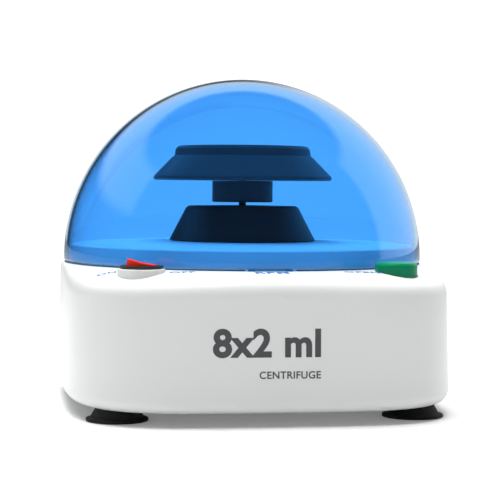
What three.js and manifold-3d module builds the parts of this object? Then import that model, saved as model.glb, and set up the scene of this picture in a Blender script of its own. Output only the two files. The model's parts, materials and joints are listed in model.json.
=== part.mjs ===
// Mini centrifuge: a rounded-square casing on suction feet, a hinged see-through lid,
// a fixed-angle rotor on its motor, a rocker switch and a push button that frees the lid.
// Millimetres, +Z up. The origin is on the bench, under the middle of the casing.
import * as THREE from 'three';
import { mergeVertices } from 'three/addons/utils/BufferGeometryUtils.js';
import Module from 'manifold-3d';

const wasm = await Module();
wasm.setup();

// ---- Driving dimensions -------------------------------------------------------------------

const SPINDLE_Y = 9.5; // the rotor turns about a vertical axis this far behind the middle
const GAP = 0.3; // between pieces that touch
const WALL = 2.5; // casing and deck

const HALF_WIDTH = 100; // casing outline, a rounded square |x/a|^n + |y/b|^n = 1
const HALF_DEPTH = 112;
const CORNER_POWER = 4;
const BOTTOM = 6.4; // lower edge of the casing
const BOTTOM_FILLET = 7;
const DRAFT = 1.2; // how far the wall leans in between the fillet and the shoulder
const PAD_RADIUS = 98.5; // flat round top that the lid stands over
const PAD_Z = 74.2;
const LIP = 9.6; // the lower edge turns in this far
const SHOULDER_POWER = 2.8;

const DOME_RADIUS = 97.5;
const DOME_WALL = 2.1;
const DOME_Z = 76.6; // centre of the hemisphere
const RIM_Z = 75.2; // lower edge of the lid

const COLLAR_RADIUS = 93.6; // raised deck under the lid
const DECK_EDGE_Z = 84.6;
const DECK_Z = 86;
const MOTOR_HOLE = 20.8;

const COWL_BASE = 40.1;
const COWL_TOP = 30.3;
const COWL_TOP_Z = 105;

const ROTOR_RADIUS = 48.9;
const ROTOR_BOTTOM = 119;
const ROTOR_TOP = 137.6;
const STEP_RADIUS = 38.5;
const STEP_Z = 131.7;
const WELLS = 8;
const WELL_RADIUS = 5.5;
const WELL_MOUTH = 19; // radius of the ring of well centres at the top face
const HUB_RADIUS = 16.6;
const HUB_BOTTOM = 107.1;
const SHAFT_RADIUS = 2;

const CONTROL_X = 64; // the rocker switch and the button stand either side of the lid
const CONTROL_Y = -94; // from the spindle
const BOSS_RADIUS = 11.8;
const BOSS_TOP = 75.4;
const BEZEL_RADIUS = 10.9;
const BEZEL_TOP = 77;
const ROCKER_RADIUS = 7.7;
const BUTTON_RADIUS = 10.6;
const BUTTON_TOP = 78.9;

const HINGE_Y = 98.7; // from the spindle
const HINGE_Z = 79.2;
const KNUCKLE_RADIUS = 3.4;
const PIN_RADIUS = 1.5;
const NOTCH_HALF = 20.4; // half the width of the notch that the hinge stands in

const CATCH_HALF = 11; // half the width of the lid's catch
const CATCH_Y = -96.6; // outer face of the catch, from the spindle
const CATCH_THICK = 2.2;
const CATCH_BOTTOM = 57;
const TONGUE_Z = 61.6; // underside of the latch tongue
const SLIDER_Z = 46;

const FOOT_X = 75;
const FOOT_Y = 77.5;
const FOOT_RADIUS = 15.5;
const PLATE_Z = 6.9;
const PLATE_THICK = 2.6;
const POSTS = [[84, -57.5], [60, 80.5]]; // screw posts of the right half, from the spindle

const MOTOR_RADIUS = 17.9;
const MOTOR_TOP = 89.7;
const MOTOR_LENGTH = 57;
const MOUNT_Z = 90;
const INLET_X = -45;
const INLET_Z = 30;

// ---- Shapes -------------------------------------------------------------------------------

/** Six times the volume inside the faces: negative when they point inwards. */
function turnedIn(position, faces) {
  const a = new THREE.Vector3();
  const b = new THREE.Vector3();
  const c = new THREE.Vector3();
  let sum = 0;
  for (let i = 0; i < faces.length; i += 3) {
    a.fromBufferAttribute(position, faces[i]);
    b.fromBufferAttribute(position, faces[i + 1]);
    c.fromBufferAttribute(position, faces[i + 2]);
    sum += a.dot(b.cross(c));
  }
  return sum < 0;
}

/** A closed geometry as a solid that can be joined and cut. */
function solid(geometry) {
  const bare = geometry.index ? geometry.toNonIndexed() : geometry.clone();
  bare.deleteAttribute('normal');
  bare.deleteAttribute('uv');
  const merged = mergeVertices(bare, 1e-4);
  const index = merged.index.array;
  const faces = [];
  for (let i = 0; i < index.length; i += 3) {
    const [a, b, c] = index.slice(i, i + 3);
    if (a !== b && b !== c && c !== a) faces.push(a, b, c);
  }
  if (turnedIn(merged.attributes.position, faces)) faces.reverse();
  const vertProperties = new Float32Array(merged.attributes.position.array);
  const triVerts = new Uint32Array(faces);
  return new wasm.Manifold(new wasm.Mesh({ numProp: 3, vertProperties, triVerts }));
}

/** The surface of a solid as a geometry. */
function surface(body) {
  const { vertProperties, triVerts } = body.getMesh();
  const geometry = new THREE.BufferGeometry();
  geometry.setAttribute('position', new THREE.BufferAttribute(vertProperties, 3));
  geometry.setIndex(new THREE.BufferAttribute(triVerts, 1));
  const flat = geometry.toNonIndexed();
  flat.computeVertexNormals();
  return flat;
}

/** A box between two corners. */
function block([x0, y0, z0], [x1, y1, z1]) {
  const box = new THREE.BoxGeometry(x1 - x0, y1 - y0, z1 - z0);
  return solid(box.translate((x0 + x1) / 2, (y0 + y1) / 2, (z0 + z1) / 2));
}

/** An upright rod at x, y from z0 to z1. */
function rod(radius, [x, y], z0, z1, sides = 24) {
  const round = new THREE.CylinderGeometry(radius, radius, z1 - z0, sides);
  return solid(round.rotateX(Math.PI / 2).translate(x, y, (z0 + z1) / 2));
}

/** A rod along X from x0 to x1 at y, z. */
function rodAlongX(radius, [y, z], x0, x1, sides = 16) {
  const round = new THREE.CylinderGeometry(radius, radius, x1 - x0, sides);
  return solid(round.rotateZ(Math.PI / 2).translate((x0 + x1) / 2, y, z));
}

/** A rod along Y from y0 to y1 at x, z. */
function rodAlongY(radius, [x, z], y0, y1, sides = 24) {
  const round = new THREE.CylinderGeometry(radius, radius, y1 - y0, sides);
  return solid(round.translate(x, (y0 + y1) / 2, z));
}

/** A turned piece: a profile of radius and height, taken round the Z axis. */
function turned(profile, sides = 32) {
  const points = profile.map(([r, z]) => new THREE.Vector2(r, z));
  return solid(new THREE.LatheGeometry(points, sides).rotateX(Math.PI / 2));
}

/** A closed ring of wall: the profile comes back to its first point. */
function turnedRing(profile, sides = 32) {
  return turned([...profile, profile[0]], sides);
}

/** An outline in X and Z, taken along Y from y0 to y1. */
function prismAlongY(outline, y0, y1) {
  const shape = new THREE.Shape(outline.map(([x, z]) => new THREE.Vector2(x, z)));
  const prism = new THREE.ExtrudeGeometry(shape, { depth: y1 - y0, bevelEnabled: false });
  return solid(prism.rotateX(Math.PI / 2).translate(0, y1, 0));
}

/** An outline in X and Y, taken up Z from z0 to z1. */
function prismAlongZ(outline, z0, z1) {
  const shape = new THREE.Shape(outline.map(([x, y]) => new THREE.Vector2(x, y)));
  const prism = new THREE.ExtrudeGeometry(shape, { depth: z1 - z0, bevelEnabled: false });
  return solid(prism.translate(0, 0, z0));
}

/** A round wire along a smooth curve through the points. */
function wire(points, radius, steps, sides) {
  const curve = new THREE.CatmullRomCurve3(points.map((p) => new THREE.Vector3(...p)));
  const corners = Array.from({ length: sides }, (_, i) => {
    const t = (2 * Math.PI * i) / sides;
    return new THREE.Vector2(radius * Math.cos(t), radius * Math.sin(t));
  });
  const section = new THREE.Shape(corners);
  const options = { extrudePath: curve, steps, bevelEnabled: false };
  return solid(new THREE.ExtrudeGeometry(section, options));
}

/** A closed solid through rings of the same number of points, capped at both ends. */
function loft(rings) {
  const count = rings[0].length;
  const middle = (ring) => ring.reduce((sum, p) => sum.add(p), new THREE.Vector3()).divideScalar(count);
  const points = [...rings.flat(), middle(rings[0]), middle(rings.at(-1))];
  const faces = [];
  for (let i = 0; i < rings.length - 1; i++) {
    for (let j = 0; j < count; j++) {
      const k = (j + 1) % count;
      const low = i * count;
      faces.push(low + j, low + k, low + count + k);
      faces.push(low + j, low + count + k, low + count + j);
    }
  }
  const top = (rings.length - 1) * count;
  for (let j = 0; j < count; j++) {
    const k = (j + 1) % count;
    faces.push(points.length - 2, k, j);
    faces.push(points.length - 1, top + j, top + k);
  }
  const geometry = new THREE.BufferGeometry().setFromPoints(points);
  geometry.setIndex(faces);
  return solid(geometry);
}

const root = new THREE.Group();
const spindle = new THREE.Group(); // pieces drawn about the rotor's axis
spindle.position.y = SPINDLE_Y;
root.add(spindle);

/** Adds a named piece to a group, at a place in it. */
function piece(group, name, body, look, place = [0, 0, 0]) {
  const mesh = new THREE.Mesh(surface(body), new THREE.MeshStandardMaterial(look));
  mesh.name = name;
  mesh.position.set(...place);
  group.add(mesh);
}

const WHITE = { color: 0xe6e7e6, roughness: 0.42 };
const BLACK = { color: 0x15171a, roughness: 0.45 };
const BLUE = { color: 0x2f8fe8, roughness: 0.06, transparent: true, opacity: 0.45 };
const RED = { color: 0xc02a18, roughness: 0.3 };
const GREEN = { color: 0x0d8a63, roughness: 0.4 };
const RUBBER = { color: 0x120f0d, roughness: 0.8 };
const STEEL = { color: 0xb5b8bb, roughness: 0.3, metalness: 1 };
const BRASS = { color: 0xc3a05a, roughness: 0.35, metalness: 1 };
const BOARD = { color: 0x1c5a34, roughness: 0.55 };

// ---- Casing -------------------------------------------------------------------------------

/** Distance from the spindle to the casing outline, set in by inset, in a direction. */
function outlineRadius(turn, inset) {
  let near = 0;
  let far = 2 * HALF_DEPTH;
  for (let i = 0; i < 40; i++) {
    const mid = (near + far) / 2;
    const across = Math.abs(mid * Math.cos(turn)) / (HALF_WIDTH - inset);
    const along = Math.abs(mid * Math.sin(turn) + SPINDLE_Y) / (HALF_DEPTH - inset);
    if (across ** CORNER_POWER + along ** CORNER_POWER < 1) near = mid;
    else far = mid;
  }
  return near;
}

const CASING_SIDES = 64;
const turns = Array.from({ length: CASING_SIDES }, (_, i) => (2 * Math.PI * i) / CASING_SIDES);
const ringAt = (radius, height) =>
  turns.map((t) => new THREE.Vector3(radius(t) * Math.cos(t), radius(t) * Math.sin(t), height(t)));
const levelRing = (inset, z) => ringAt((t) => outlineRadius(t, inset), () => z);

/** The shoulder: a quarter superellipse from the leaning wall in to the flat round pad. */
function shoulderRings(wall, steps) {
  const padRadius = PAD_RADIUS - (wall ? WALL + 0.1 : 0);
  const edge = (t) => outlineRadius(t, DRAFT + wall);
  const run = (t) => edge(t) - padRadius;
  const drop = (t) => 3 + 12 * (1 - Math.exp(-run(t) / 8));
  return Array.from({ length: steps + 1 }, (_, i) => {
    const tilt = (Math.PI / 2) * (i / steps);
    const out = Math.abs(Math.cos(tilt)) ** (2 / SHOULDER_POWER);
    const up = Math.sin(tilt) ** (2 / SHOULDER_POWER);
    return ringAt((t) => padRadius + run(t) * out, (t) => PAD_Z - wall - drop(t) * (1 - up));
  });
}

const filletRings = [0, 45, 90].map((degrees) => {
  const tilt = THREE.MathUtils.degToRad(degrees);
  return levelRing(BOTTOM_FILLET * (1 - Math.sin(tilt)), BOTTOM + BOTTOM_FILLET * (1 - Math.cos(tilt)));
});
const casingOutside = loft([...filletRings, levelRing(DRAFT / 2, 36), ...shoulderRings(0, 5)]);
const casingInside = loft([
  levelRing(LIP, BOTTOM - 1),
  levelRing(LIP, 9.4),
  levelRing(WALL, 13),
  levelRing(DRAFT / 2 + WALL, 36),
  ...shoulderRings(WALL, 2),
]);

const LUG_TURNS = [-140, -40, 60, 120].map(THREE.MathUtils.degToRad);
const LUG_RING = 99.6;
const lugPlaces = LUG_TURNS.map((t) => [LUG_RING * Math.cos(t), LUG_RING * Math.sin(t)]);
const postPlaces = POSTS.flatMap(([x, y]) => [[-x, y], [x, y]]);
const SWITCH_AT = [-CONTROL_X, CONTROL_Y];
const BUTTON_AT = [CONTROL_X, CONTROL_Y];
const backWall = HALF_DEPTH - SPINDLE_Y;

let casing = casingOutside.subtract(casingInside);
for (const place of postPlaces) {
  const post = rod(4, place, PLATE_Z + PLATE_THICK + GAP, PAD_Z, 16).intersect(casingOutside);
  casing = casing.add(post).subtract(rod(1.6, place, 0, 30, 12));
}
for (const place of lugPlaces) {
  const boss = rod(3.2, place, 70, PAD_Z, 16).intersect(casingOutside);
  casing = casing.add(boss).subtract(rod(1.3, place, 60, 72.6, 12));
}
casing = casing.add(rod(BOSS_RADIUS, SWITCH_AT, 62, BOSS_TOP, 40));
casing = casing.subtract(rod(9.9, SWITCH_AT, 50, 90, 32));
casing = casing.subtract(rod(BUTTON_RADIUS + 0.4, BUTTON_AT, 50, 90, 40));
const inletBoss = rodAlongY(11, [INLET_X, INLET_Z], backWall - 8, backWall, 24);
casing = casing.add(inletBoss.intersect(casingOutside));
casing = casing.subtract(rodAlongY(8.4, [INLET_X, INLET_Z], backWall - 3.2, backWall + 2, 24));
casing = casing.subtract(rodAlongY(5.7, [INLET_X, INLET_Z], backWall - 12, backWall, 24));
casing = casing.subtract(rod(COLLAR_RADIUS + 0.7, [0, 0], 60, 90, 48));
casing = casing.subtract(block([-CATCH_HALF - 0.8, -98.2, 60], [CATCH_HALF + 0.8, -90, 90]));
casing = casing.subtract(block([-NOTCH_HALF - 3.9, 94.6, 66.2], [NOTCH_HALF + 3.9, 130, 90]));
piece(spindle, 'upper_casing', casing, WHITE);

// ---- Base plate and feet ------------------------------------------------------------------

const boardPlaces = [[-31, -66], [31, -66], [-31, -30], [31, -30]];
const footPlaces = [[-FOOT_X, -FOOT_Y], [FOOT_X, -FOOT_Y], [-FOOT_X, FOOT_Y], [FOOT_X, FOOT_Y]];
const PLATE_TOP = PLATE_Z + PLATE_THICK;
const plateOutline = turns.map((t) => {
  const r = outlineRadius(t, LIP + GAP);
  return [r * Math.cos(t), r * Math.sin(t) + SPINDLE_Y];
});
let plate = prismAlongZ(plateOutline, PLATE_Z, PLATE_TOP);
for (const place of boardPlaces) plate = plate.add(rod(2.8, place, PLATE_Z + 1, 13.7, 12));
for (const place of boardPlaces) plate = plate.subtract(rod(1.2, place, 9, 15, 10));
for (const [x, y] of postPlaces) plate = plate.subtract(rod(1.9, [x, y + SPINDLE_Y], 0, 20, 12));
for (const place of footPlaces) plate = plate.subtract(rod(3.3, place, 0, 20, 16));
for (let i = -3; i <= 3; i++) {
  plate = plate.subtract(block([i * 9 - 1.5, 20, 0], [i * 9 + 1.5, 62, 20]));
}
piece(root, 'base_plate', plate, WHITE);

const footProfile = [
  [0, 2.4], [13.8, 0], [FOOT_RADIUS, 0], [FOOT_RADIUS, 1.4], [13.3, 2],
  [10.9, BOTTOM - GAP], [2.9, BOTTOM - GAP], [2.9, PLATE_TOP + 0.4], [4, PLATE_TOP + 0.4],
  [2.6, 12.4], [0, 12.4],
];
const footNames = ['foot_front_left', 'foot_front_right', 'foot_rear_left', 'foot_rear_right'];
footNames.forEach((name, i) => {
  piece(root, name, turned(footProfile, 18), RUBBER, [...footPlaces[i], 0]);
});

/** A pan-head screw with its head at the bottom and its thread pointing up. */
function screw(headRadius, shankRadius, length) {
  const profile = [
    [0, 0], [headRadius * 0.7, 0], [headRadius, 0.6], [headRadius, 1.4], [shankRadius, 1.4],
    [shankRadius, length], [0, length],
  ];
  return turned(profile, 8);
}
const caseScrewNames = ['case_screw_1', 'case_screw_2', 'case_screw_3', 'case_screw_4'];
caseScrewNames.forEach((name, i) => {
  const [x, y] = postPlaces[i];
  piece(spindle, name, screw(2.9, 1.3, 20), STEEL, [x, y, PLATE_Z - 1.7]);
});

// ---- Deck, cowl and motor -----------------------------------------------------------------

let deck = turnedRing([
  [MOTOR_HOLE, DECK_Z], [COWL_BASE + 1, DECK_Z], [90.4, DECK_EDGE_Z], [92.2, 84.1],
  [93.2, 83], [COLLAR_RADIUS, 81.3], [COLLAR_RADIUS, 71.4], [95.9, 71.4], [95.9, 66.4],
  [COLLAR_RADIUS - WALL, 66.4], [COLLAR_RADIUS - WALL, 80.6], [89.4, 82.1],
  [COWL_BASE + 1, DECK_Z - WALL], [MOTOR_HOLE, DECK_Z - WALL],
], 48);
for (const turn of LUG_TURNS) {
  const lug = new THREE.BoxGeometry(11, 9, 1.9).translate(97.6, 0, 67.35).rotateZ(turn);
  deck = deck.add(solid(lug));
}
for (const place of lugPlaces) deck = deck.subtract(rod(1.7, place, 60, 75, 12));
deck = deck.subtract(block([-CATCH_HALF - 2, -100, 60], [CATCH_HALF + 2, -COLLAR_RADIUS - 0.2, 75]));
deck = deck.subtract(block([-NOTCH_HALF - 4.4, COLLAR_RADIUS + 0.4, 60], [NOTCH_HALF + 4.4, 100, 75]));
const DAMPER_RING = 25.5;
const damperPlaces = [90, 210, 330].map(THREE.MathUtils.degToRad).map((t) => {
  return [DAMPER_RING * Math.cos(t), DAMPER_RING * Math.sin(t)];
});
for (const place of damperPlaces) deck = deck.subtract(rod(1.2, place, 80, 90, 10));
piece(spindle, 'rotor_deck', deck, WHITE);

lugPlaces.forEach(([x, y], i) => {
  piece(spindle, `deck_screw_${i + 1}`, screw(2.7, 1.1, 6.8), STEEL, [x, y, 64.7]);
});

const cowl = turnedRing([
  [COWL_BASE, DECK_Z + GAP], [COWL_TOP + 0.7, COWL_TOP_Z - 1.1], [COWL_TOP - 0.7, COWL_TOP_Z],
  [4, COWL_TOP_Z + 0.4], [4, COWL_TOP_Z - 1.8], [COWL_TOP - 2.2, COWL_TOP_Z - 2.2],
  [COWL_BASE - 2.3, DECK_Z + GAP],
], 40);
piece(spindle, 'motor_cowl', cowl, BLACK);

const MOTOR_BOTTOM = MOTOR_TOP - MOTOR_LENGTH;
const can = turned([
  [0, MOTOR_BOTTOM], [MOTOR_RADIUS, MOTOR_BOTTOM], [MOTOR_RADIUS, MOTOR_TOP - 1],
  [MOTOR_RADIUS - 1, MOTOR_TOP], [6.4, MOTOR_TOP], [6.4, MOTOR_TOP + 4], [2.4, MOTOR_TOP + 4],
  [2.4, MOTOR_TOP - 30], [0, MOTOR_TOP - 30],
], 32);
piece(spindle, 'motor_can', can, STEEL);

let endCap = turned([
  [0, MOTOR_BOTTOM - 4], [5, MOTOR_BOTTOM - 4], [5, MOTOR_BOTTOM - 2.4],
  [MOTOR_RADIUS - 1.6, MOTOR_BOTTOM - 2.4], [MOTOR_RADIUS - 1.6, MOTOR_BOTTOM - GAP],
  [0, MOTOR_BOTTOM - GAP],
], 24);
for (const x of [-10, 10]) {
  endCap = endCap.add(block([x - 1.4, -0.4, MOTOR_BOTTOM - 8], [x + 1.4, 0.4, MOTOR_BOTTOM - 2]));
}
piece(spindle, 'motor_end_cap', endCap, BLACK);

let mount = turnedRing([[7, MOUNT_Z], [31, MOUNT_Z], [31, MOUNT_Z + 1.6], [7, MOUNT_Z + 1.6]], 32);
for (const place of damperPlaces) mount = mount.subtract(rod(1.7, place, 80, 95, 12));
for (const x of [-12.5, 12.5]) mount = mount.subtract(rod(1.7, [x, 0], 80, 95, 12));
piece(spindle, 'motor_mount', mount, STEEL);

const damper = turnedRing([[1.6, 0], [4.2, 0], [3.4, 1.6], [4.2, 3.2], [1.6, 3.2]], 16);
const screwDown = (headRadius, shankRadius, length) =>
  turned([
    [0, -length], [shankRadius, -length], [shankRadius, 0], [headRadius, 0],
    [headRadius, 1.2], [headRadius * 0.7, 1.8], [0, 1.8],
  ], 8);
damperPlaces.forEach(([x, y], i) => {
  piece(spindle, `damper_${i + 1}`, damper, RUBBER, [x, y, DECK_Z + GAP]);
  piece(spindle, `damper_screw_${i + 1}`, screwDown(2.6, 0.9, 7.6), STEEL, [x, y, MOUNT_Z + 1.9]);
});
[-12.5, 12.5].forEach((x, i) => {
  piece(spindle, `motor_screw_${i + 1}`, screwDown(2.6, 1.3, 1.9), STEEL, [x, 0, MOUNT_Z + 1.9]);
});

// ---- Rotor --------------------------------------------------------------------------------

const SCREW_RECESS = 9;
let head = turnedRing([
  [SHAFT_RADIUS + 0.3, ROTOR_BOTTOM], [ROTOR_RADIUS - 1, ROTOR_BOTTOM],
  [ROTOR_RADIUS, ROTOR_BOTTOM + 1], [ROTOR_RADIUS, ROTOR_BOTTOM + 2], [STEP_RADIUS, STEP_Z],
  [STEP_RADIUS - 1.1, STEP_Z + 0.6], [STEP_RADIUS - 1.6, ROTOR_TOP - 1.6],
  [STEP_RADIUS - 3.2, ROTOR_TOP], [SCREW_RECESS, ROTOR_TOP], [SCREW_RECESS, STEP_Z],
  [SHAFT_RADIUS + 0.3, STEP_Z],
], 32);
for (let i = 0; i < WELLS; i++) {
  const well = new THREE.CylinderGeometry(WELL_RADIUS, WELL_RADIUS, 60, 8);
  well.rotateX(Math.PI / 2).rotateY(-Math.PI / 4).translate(WELL_MOUTH, 0, ROTOR_TOP);
  head = head.subtract(solid(well.rotateZ((2 * Math.PI * i) / WELLS)));
}
piece(spindle, 'rotor_head', head, BLACK);

const hub = turnedRing([
  [SHAFT_RADIUS + 0.3, HUB_BOTTOM], [HUB_RADIUS - 0.6, HUB_BOTTOM], [HUB_RADIUS, HUB_BOTTOM + 0.6],
  [HUB_RADIUS, ROTOR_BOTTOM - GAP], [SHAFT_RADIUS + 0.3, ROTOR_BOTTOM - GAP],
], 40);
piece(spindle, 'rotor_hub', hub, BLACK);

const rotorScrew = turned([
  [0, STEP_Z + 0.4], [7.4, STEP_Z + 0.4], [7.4, ROTOR_TOP - 1.2], [6.6, ROTOR_TOP - 0.4],
  [0, ROTOR_TOP - 0.4],
], 24).subtract(block([-7, -0.8, ROTOR_TOP - 2], [7, 0.8, ROTOR_TOP + 1]));
piece(spindle, 'rotor_screw', rotorScrew, BLACK);
piece(spindle, 'motor_shaft', rod(SHAFT_RADIUS, [0, 0], MOTOR_TOP - 28, STEP_Z, 16), STEEL);

// ---- Rocker switch ------------------------------------------------------------------------

const switchPlace = [...SWITCH_AT, 0];
const housing = turned([
  [0, 58], [9.6, 58], [9.6, BOSS_TOP + GAP], [BEZEL_RADIUS, BOSS_TOP + GAP],
  [BEZEL_RADIUS, BEZEL_TOP - 0.6], [BEZEL_RADIUS - 0.7, BEZEL_TOP], [8.8, BEZEL_TOP],
  [8.3, BEZEL_TOP - 0.5], [8.3, 66], [0, 66],
], 40);
piece(spindle, 'switch_housing', housing, BLACK, switchPlace);
[-4, 4].forEach((x, i) => {
  const blade = block([x - 0.4, -2.4, 49], [x + 0.4, 2.4, 58 - GAP]);
  piece(spindle, `switch_terminal_${i + 1}`, blade, BRASS, switchPlace);
});
// The top is a hollow curve, high at the left; the skirt is narrow so that it can swing.
const rockerTop = [-1, -0.65, -0.3, 0.1, 0.5, 1].map((x) => {
  return [x * ROCKER_RADIUS, 77.5 + 3.6 * ((1 - x) / 2) ** 1.8];
});
const rockerSide = [...rockerTop, [6.6, 73], [3.5, 70.4], [-3.5, 70.4], [-6.6, 73]];
const rockerDisc = turned([[0, 70], [4.8, 70], [ROCKER_RADIUS, 74.4], [ROCKER_RADIUS, 90], [0, 90]], 32);
piece(spindle, 'rocker', prismAlongY(rockerSide, -9, 9).intersect(rockerDisc), RED, switchPlace);

// ---- Lid button and latch -----------------------------------------------------------------

const BUTTON_SKIRT = 60;
const STEM_Z = 52;
const STEM_HALF = 2.8;
const button = turned([
  [0, 74], [7.5, 74], [7.5, BUTTON_SKIRT], [BUTTON_RADIUS, BUTTON_SKIRT],
  [BUTTON_RADIUS, BUTTON_TOP - 2.2], [BUTTON_RADIUS - 0.5, BUTTON_TOP - 1.1],
  [BUTTON_RADIUS - 1.7, BUTTON_TOP - 0.35], [6, BUTTON_TOP], [0, BUTTON_TOP],
], 40);
const stem = prismAlongY([
  [-STEM_HALF, 75], [-STEM_HALF, STEM_Z], [1.2 - STEM_HALF + 0.4, STEM_Z],
  [STEM_HALF, STEM_Z + 4], [STEM_HALF, 75],
], -2.5, 2.5);
piece(spindle, 'open_button', button.add(stem), GREEN, [...BUTTON_AT, 0]);

let guide = turnedRing([[11, 52.6], [13.2, 52.6], [13.2, 59.6], [11, 59.6]], 28);
guide = guide.add(turnedRing([[4.6, 52.6], [12, 52.6], [12, 54.2], [4.6, 54.2]], 28));
piece(spindle, 'button_guide', guide, WHITE, [...BUTTON_AT, 0]);

const SPRING_LOW = 55;
const SPRING_HIGH = 73.3;
const SPRING_TURNS = 5;
const springPoints = Array.from({ length: SPRING_TURNS * 8 + 1 }, (_, i) => {
  const t = (i / 8) * 2 * Math.PI;
  const rise = i / (SPRING_TURNS * 8);
  return [5.4 * Math.cos(t), 5.4 * Math.sin(t), SPRING_LOW + rise * (SPRING_HIGH - SPRING_LOW)];
});
piece(spindle, 'button_spring', wire(springPoints, 0.45, 45, 5), STEEL, [...BUTTON_AT, 0]);

// The slider lies along X under the button. The button's sloping stem pushes its ramp, and
// its tongue then leaves the notch in the lid's catch.
const SLIDER_Y0 = CONTROL_Y - 5.5;
const SLIDER_Y1 = CONTROL_Y + 5.5;
const RAMP_X = CONTROL_X - STEM_HALF - 4;
let slider = block([12.5, SLIDER_Y0, SLIDER_Z], [CONTROL_X + 8, SLIDER_Y1, SLIDER_Z + 4]);
slider = slider.subtract(
  block([RAMP_X - 0.5, CONTROL_Y - 2.9, 0], [CONTROL_X + 6.5, CONTROL_Y + 2.9, 90]),
);
slider = slider.add(prismAlongY([
  [RAMP_X, SLIDER_Z], [RAMP_X + 5.6, SLIDER_Z + 5.6], [CONTROL_X + 8, SLIDER_Z + 5.6],
  [CONTROL_X + 8, SLIDER_Z],
], SLIDER_Y0, SLIDER_Y1));
slider = slider.add(block([12.5, SLIDER_Y0, SLIDER_Z + 1], [16, SLIDER_Y1, TONGUE_Z + 3]));
slider = slider.add(block([8, SLIDER_Y0, TONGUE_Z], [13, SLIDER_Y1, TONGUE_Z + 3]));
piece(spindle, 'latch_slider', slider, BLACK);

let bracket = block([-26, CONTROL_Y - 8, 42.4], [52, CONTROL_Y + 8, SLIDER_Z - GAP]);
for (const x of [-24, 46]) {
  bracket = bracket.add(block([x, CONTROL_Y - 8, PLATE_TOP + GAP], [x + 4, CONTROL_Y + 8, 43]));
}
piece(spindle, 'latch_bracket', bracket, STEEL);
const lidSwitch = block([-25, CONTROL_Y - 5, 46], [-14, CONTROL_Y + 4, 54]);
const lever = block([-16, CONTROL_Y - 2, 53], [-4, CONTROL_Y + 1, 54.2]);
piece(spindle, 'lid_switch', lidSwitch.add(lever), BLACK);

// ---- Lid ----------------------------------------------------------------------------------

/** Points of an arc of a circle about the dome's centre, from the rim height to the top. */
function domeArc(radius, steps) {
  const start = Math.asin((RIM_Z - DOME_Z) / radius);
  return Array.from({ length: steps + 1 }, (_, i) => {
    const tilt = start + (Math.PI / 2 - start) * (i / steps);
    return [i === steps ? 0 : radius * Math.cos(tilt), DOME_Z + radius * Math.sin(tilt)];
  });
}
const DOME_SIDES = 48;
const DOME_STEPS = 8;
let dome = turned([
  ...domeArc(DOME_RADIUS, DOME_STEPS),
  ...domeArc(DOME_RADIUS - DOME_WALL, DOME_STEPS).reverse(),
  domeArc(DOME_RADIUS, 1)[0],
], DOME_SIDES);
dome = dome.subtract(block([-NOTCH_HALF, 80, 60], [NOTCH_HALF, 110, HINGE_Z + 4.2]));
piece(spindle, 'lid_dome', dome, BLUE);

// A hook that hangs under the rim from a strip bonded inside it.
let lidCatch = turnedRing([[94, 73], [94.7, 73], [94.7, 79], [94, 79]], 96);
lidCatch = lidCatch.intersect(block([-CATCH_HALF, -100, 70], [CATCH_HALF, -80, 82]));
lidCatch = lidCatch.add(block(
  [-CATCH_HALF, CATCH_Y, CATCH_BOTTOM],
  [CATCH_HALF, CATCH_Y + CATCH_THICK, RIM_Z - GAP],
));
lidCatch = lidCatch.subtract(
  block([7.4, CATCH_Y - 1, TONGUE_Z - 0.4], [CATCH_HALF + 1, CATCH_Y + 4, TONGUE_Z + 3.4]),
);
piece(spindle, 'lid_catch', lidCatch, BLUE);

const pinAt = [HINGE_Y, HINGE_Z];
const LEAF_HALF = 6.2;
const leafShell = solid(new THREE.SphereGeometry(DOME_RADIUS + 2.2, 48, 32))
  .subtract(solid(new THREE.SphereGeometry(DOME_RADIUS + 0.3, 48, 32)));
let leaf = leafShell.intersect(block([-13, 80, 5.8], [13, 110, 20]));
leaf = leaf.translate([0, 0, DOME_Z]);
leaf = leaf.add(block([-LEAF_HALF, 97.8, HINGE_Z], [LEAF_HALF, 100.4, HINGE_Z + 5]));
leaf = leaf.add(rodAlongX(KNUCKLE_RADIUS, pinAt, -LEAF_HALF, LEAF_HALF));
leaf = leaf.subtract(rodAlongX(PIN_RADIUS + GAP, pinAt, -30, 30));
piece(spindle, 'hinge_leaf', leaf, BLUE);

// ---- Hinge on the casing ------------------------------------------------------------------

const EAR_INNER = 14;
const EAR_OUTER = 19;
let hingeBlock = block([-NOTCH_HALF - 3.6, 94.9, 66.5], [NOTCH_HALF + 3.6, 100.6, PAD_Z - 0.2]);
hingeBlock = hingeBlock.add(block([-18, 94.9, 58], [18, 97.4, 70]));
for (const side of [-1, 1]) {
  const [x0, x1] = [side * EAR_INNER, side * EAR_OUTER].sort((a, b) => a - b);
  hingeBlock = hingeBlock.add(rodAlongX(KNUCKLE_RADIUS, pinAt, x0, x1));
  hingeBlock = hingeBlock.add(block([x0, HINGE_Y - 3, 70], [x1, HINGE_Y + 1.9, HINGE_Z]));
}
hingeBlock = hingeBlock.subtract(rodAlongX(PIN_RADIUS + GAP, pinAt, -30, 30));
piece(spindle, 'hinge_block', hingeBlock, WHITE);
piece(spindle, 'hinge_pin', rodAlongX(PIN_RADIUS, pinAt, -EAR_OUTER, EAR_OUTER, 12), STEEL);

const COIL_RADIUS = 2.4;
const COIL_TURNS = 4;
const coilPoints = Array.from({ length: COIL_TURNS * 8 + 1 }, (_, i) => {
  const t = (i / 8) * 2 * Math.PI;
  return [(i / 8) * 1.35 - 2.7, COIL_RADIUS * Math.cos(t), COIL_RADIUS * Math.sin(t)];
});
['hinge_spring_left', 'hinge_spring_right'].forEach((name, i) => {
  const x = i ? 10.1 : -10.1;
  piece(spindle, name, wire(coilPoints, 0.4, 32, 4), STEEL, [x, HINGE_Y, HINGE_Z]);
});

// ---- Electrics ----------------------------------------------------------------------------

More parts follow.
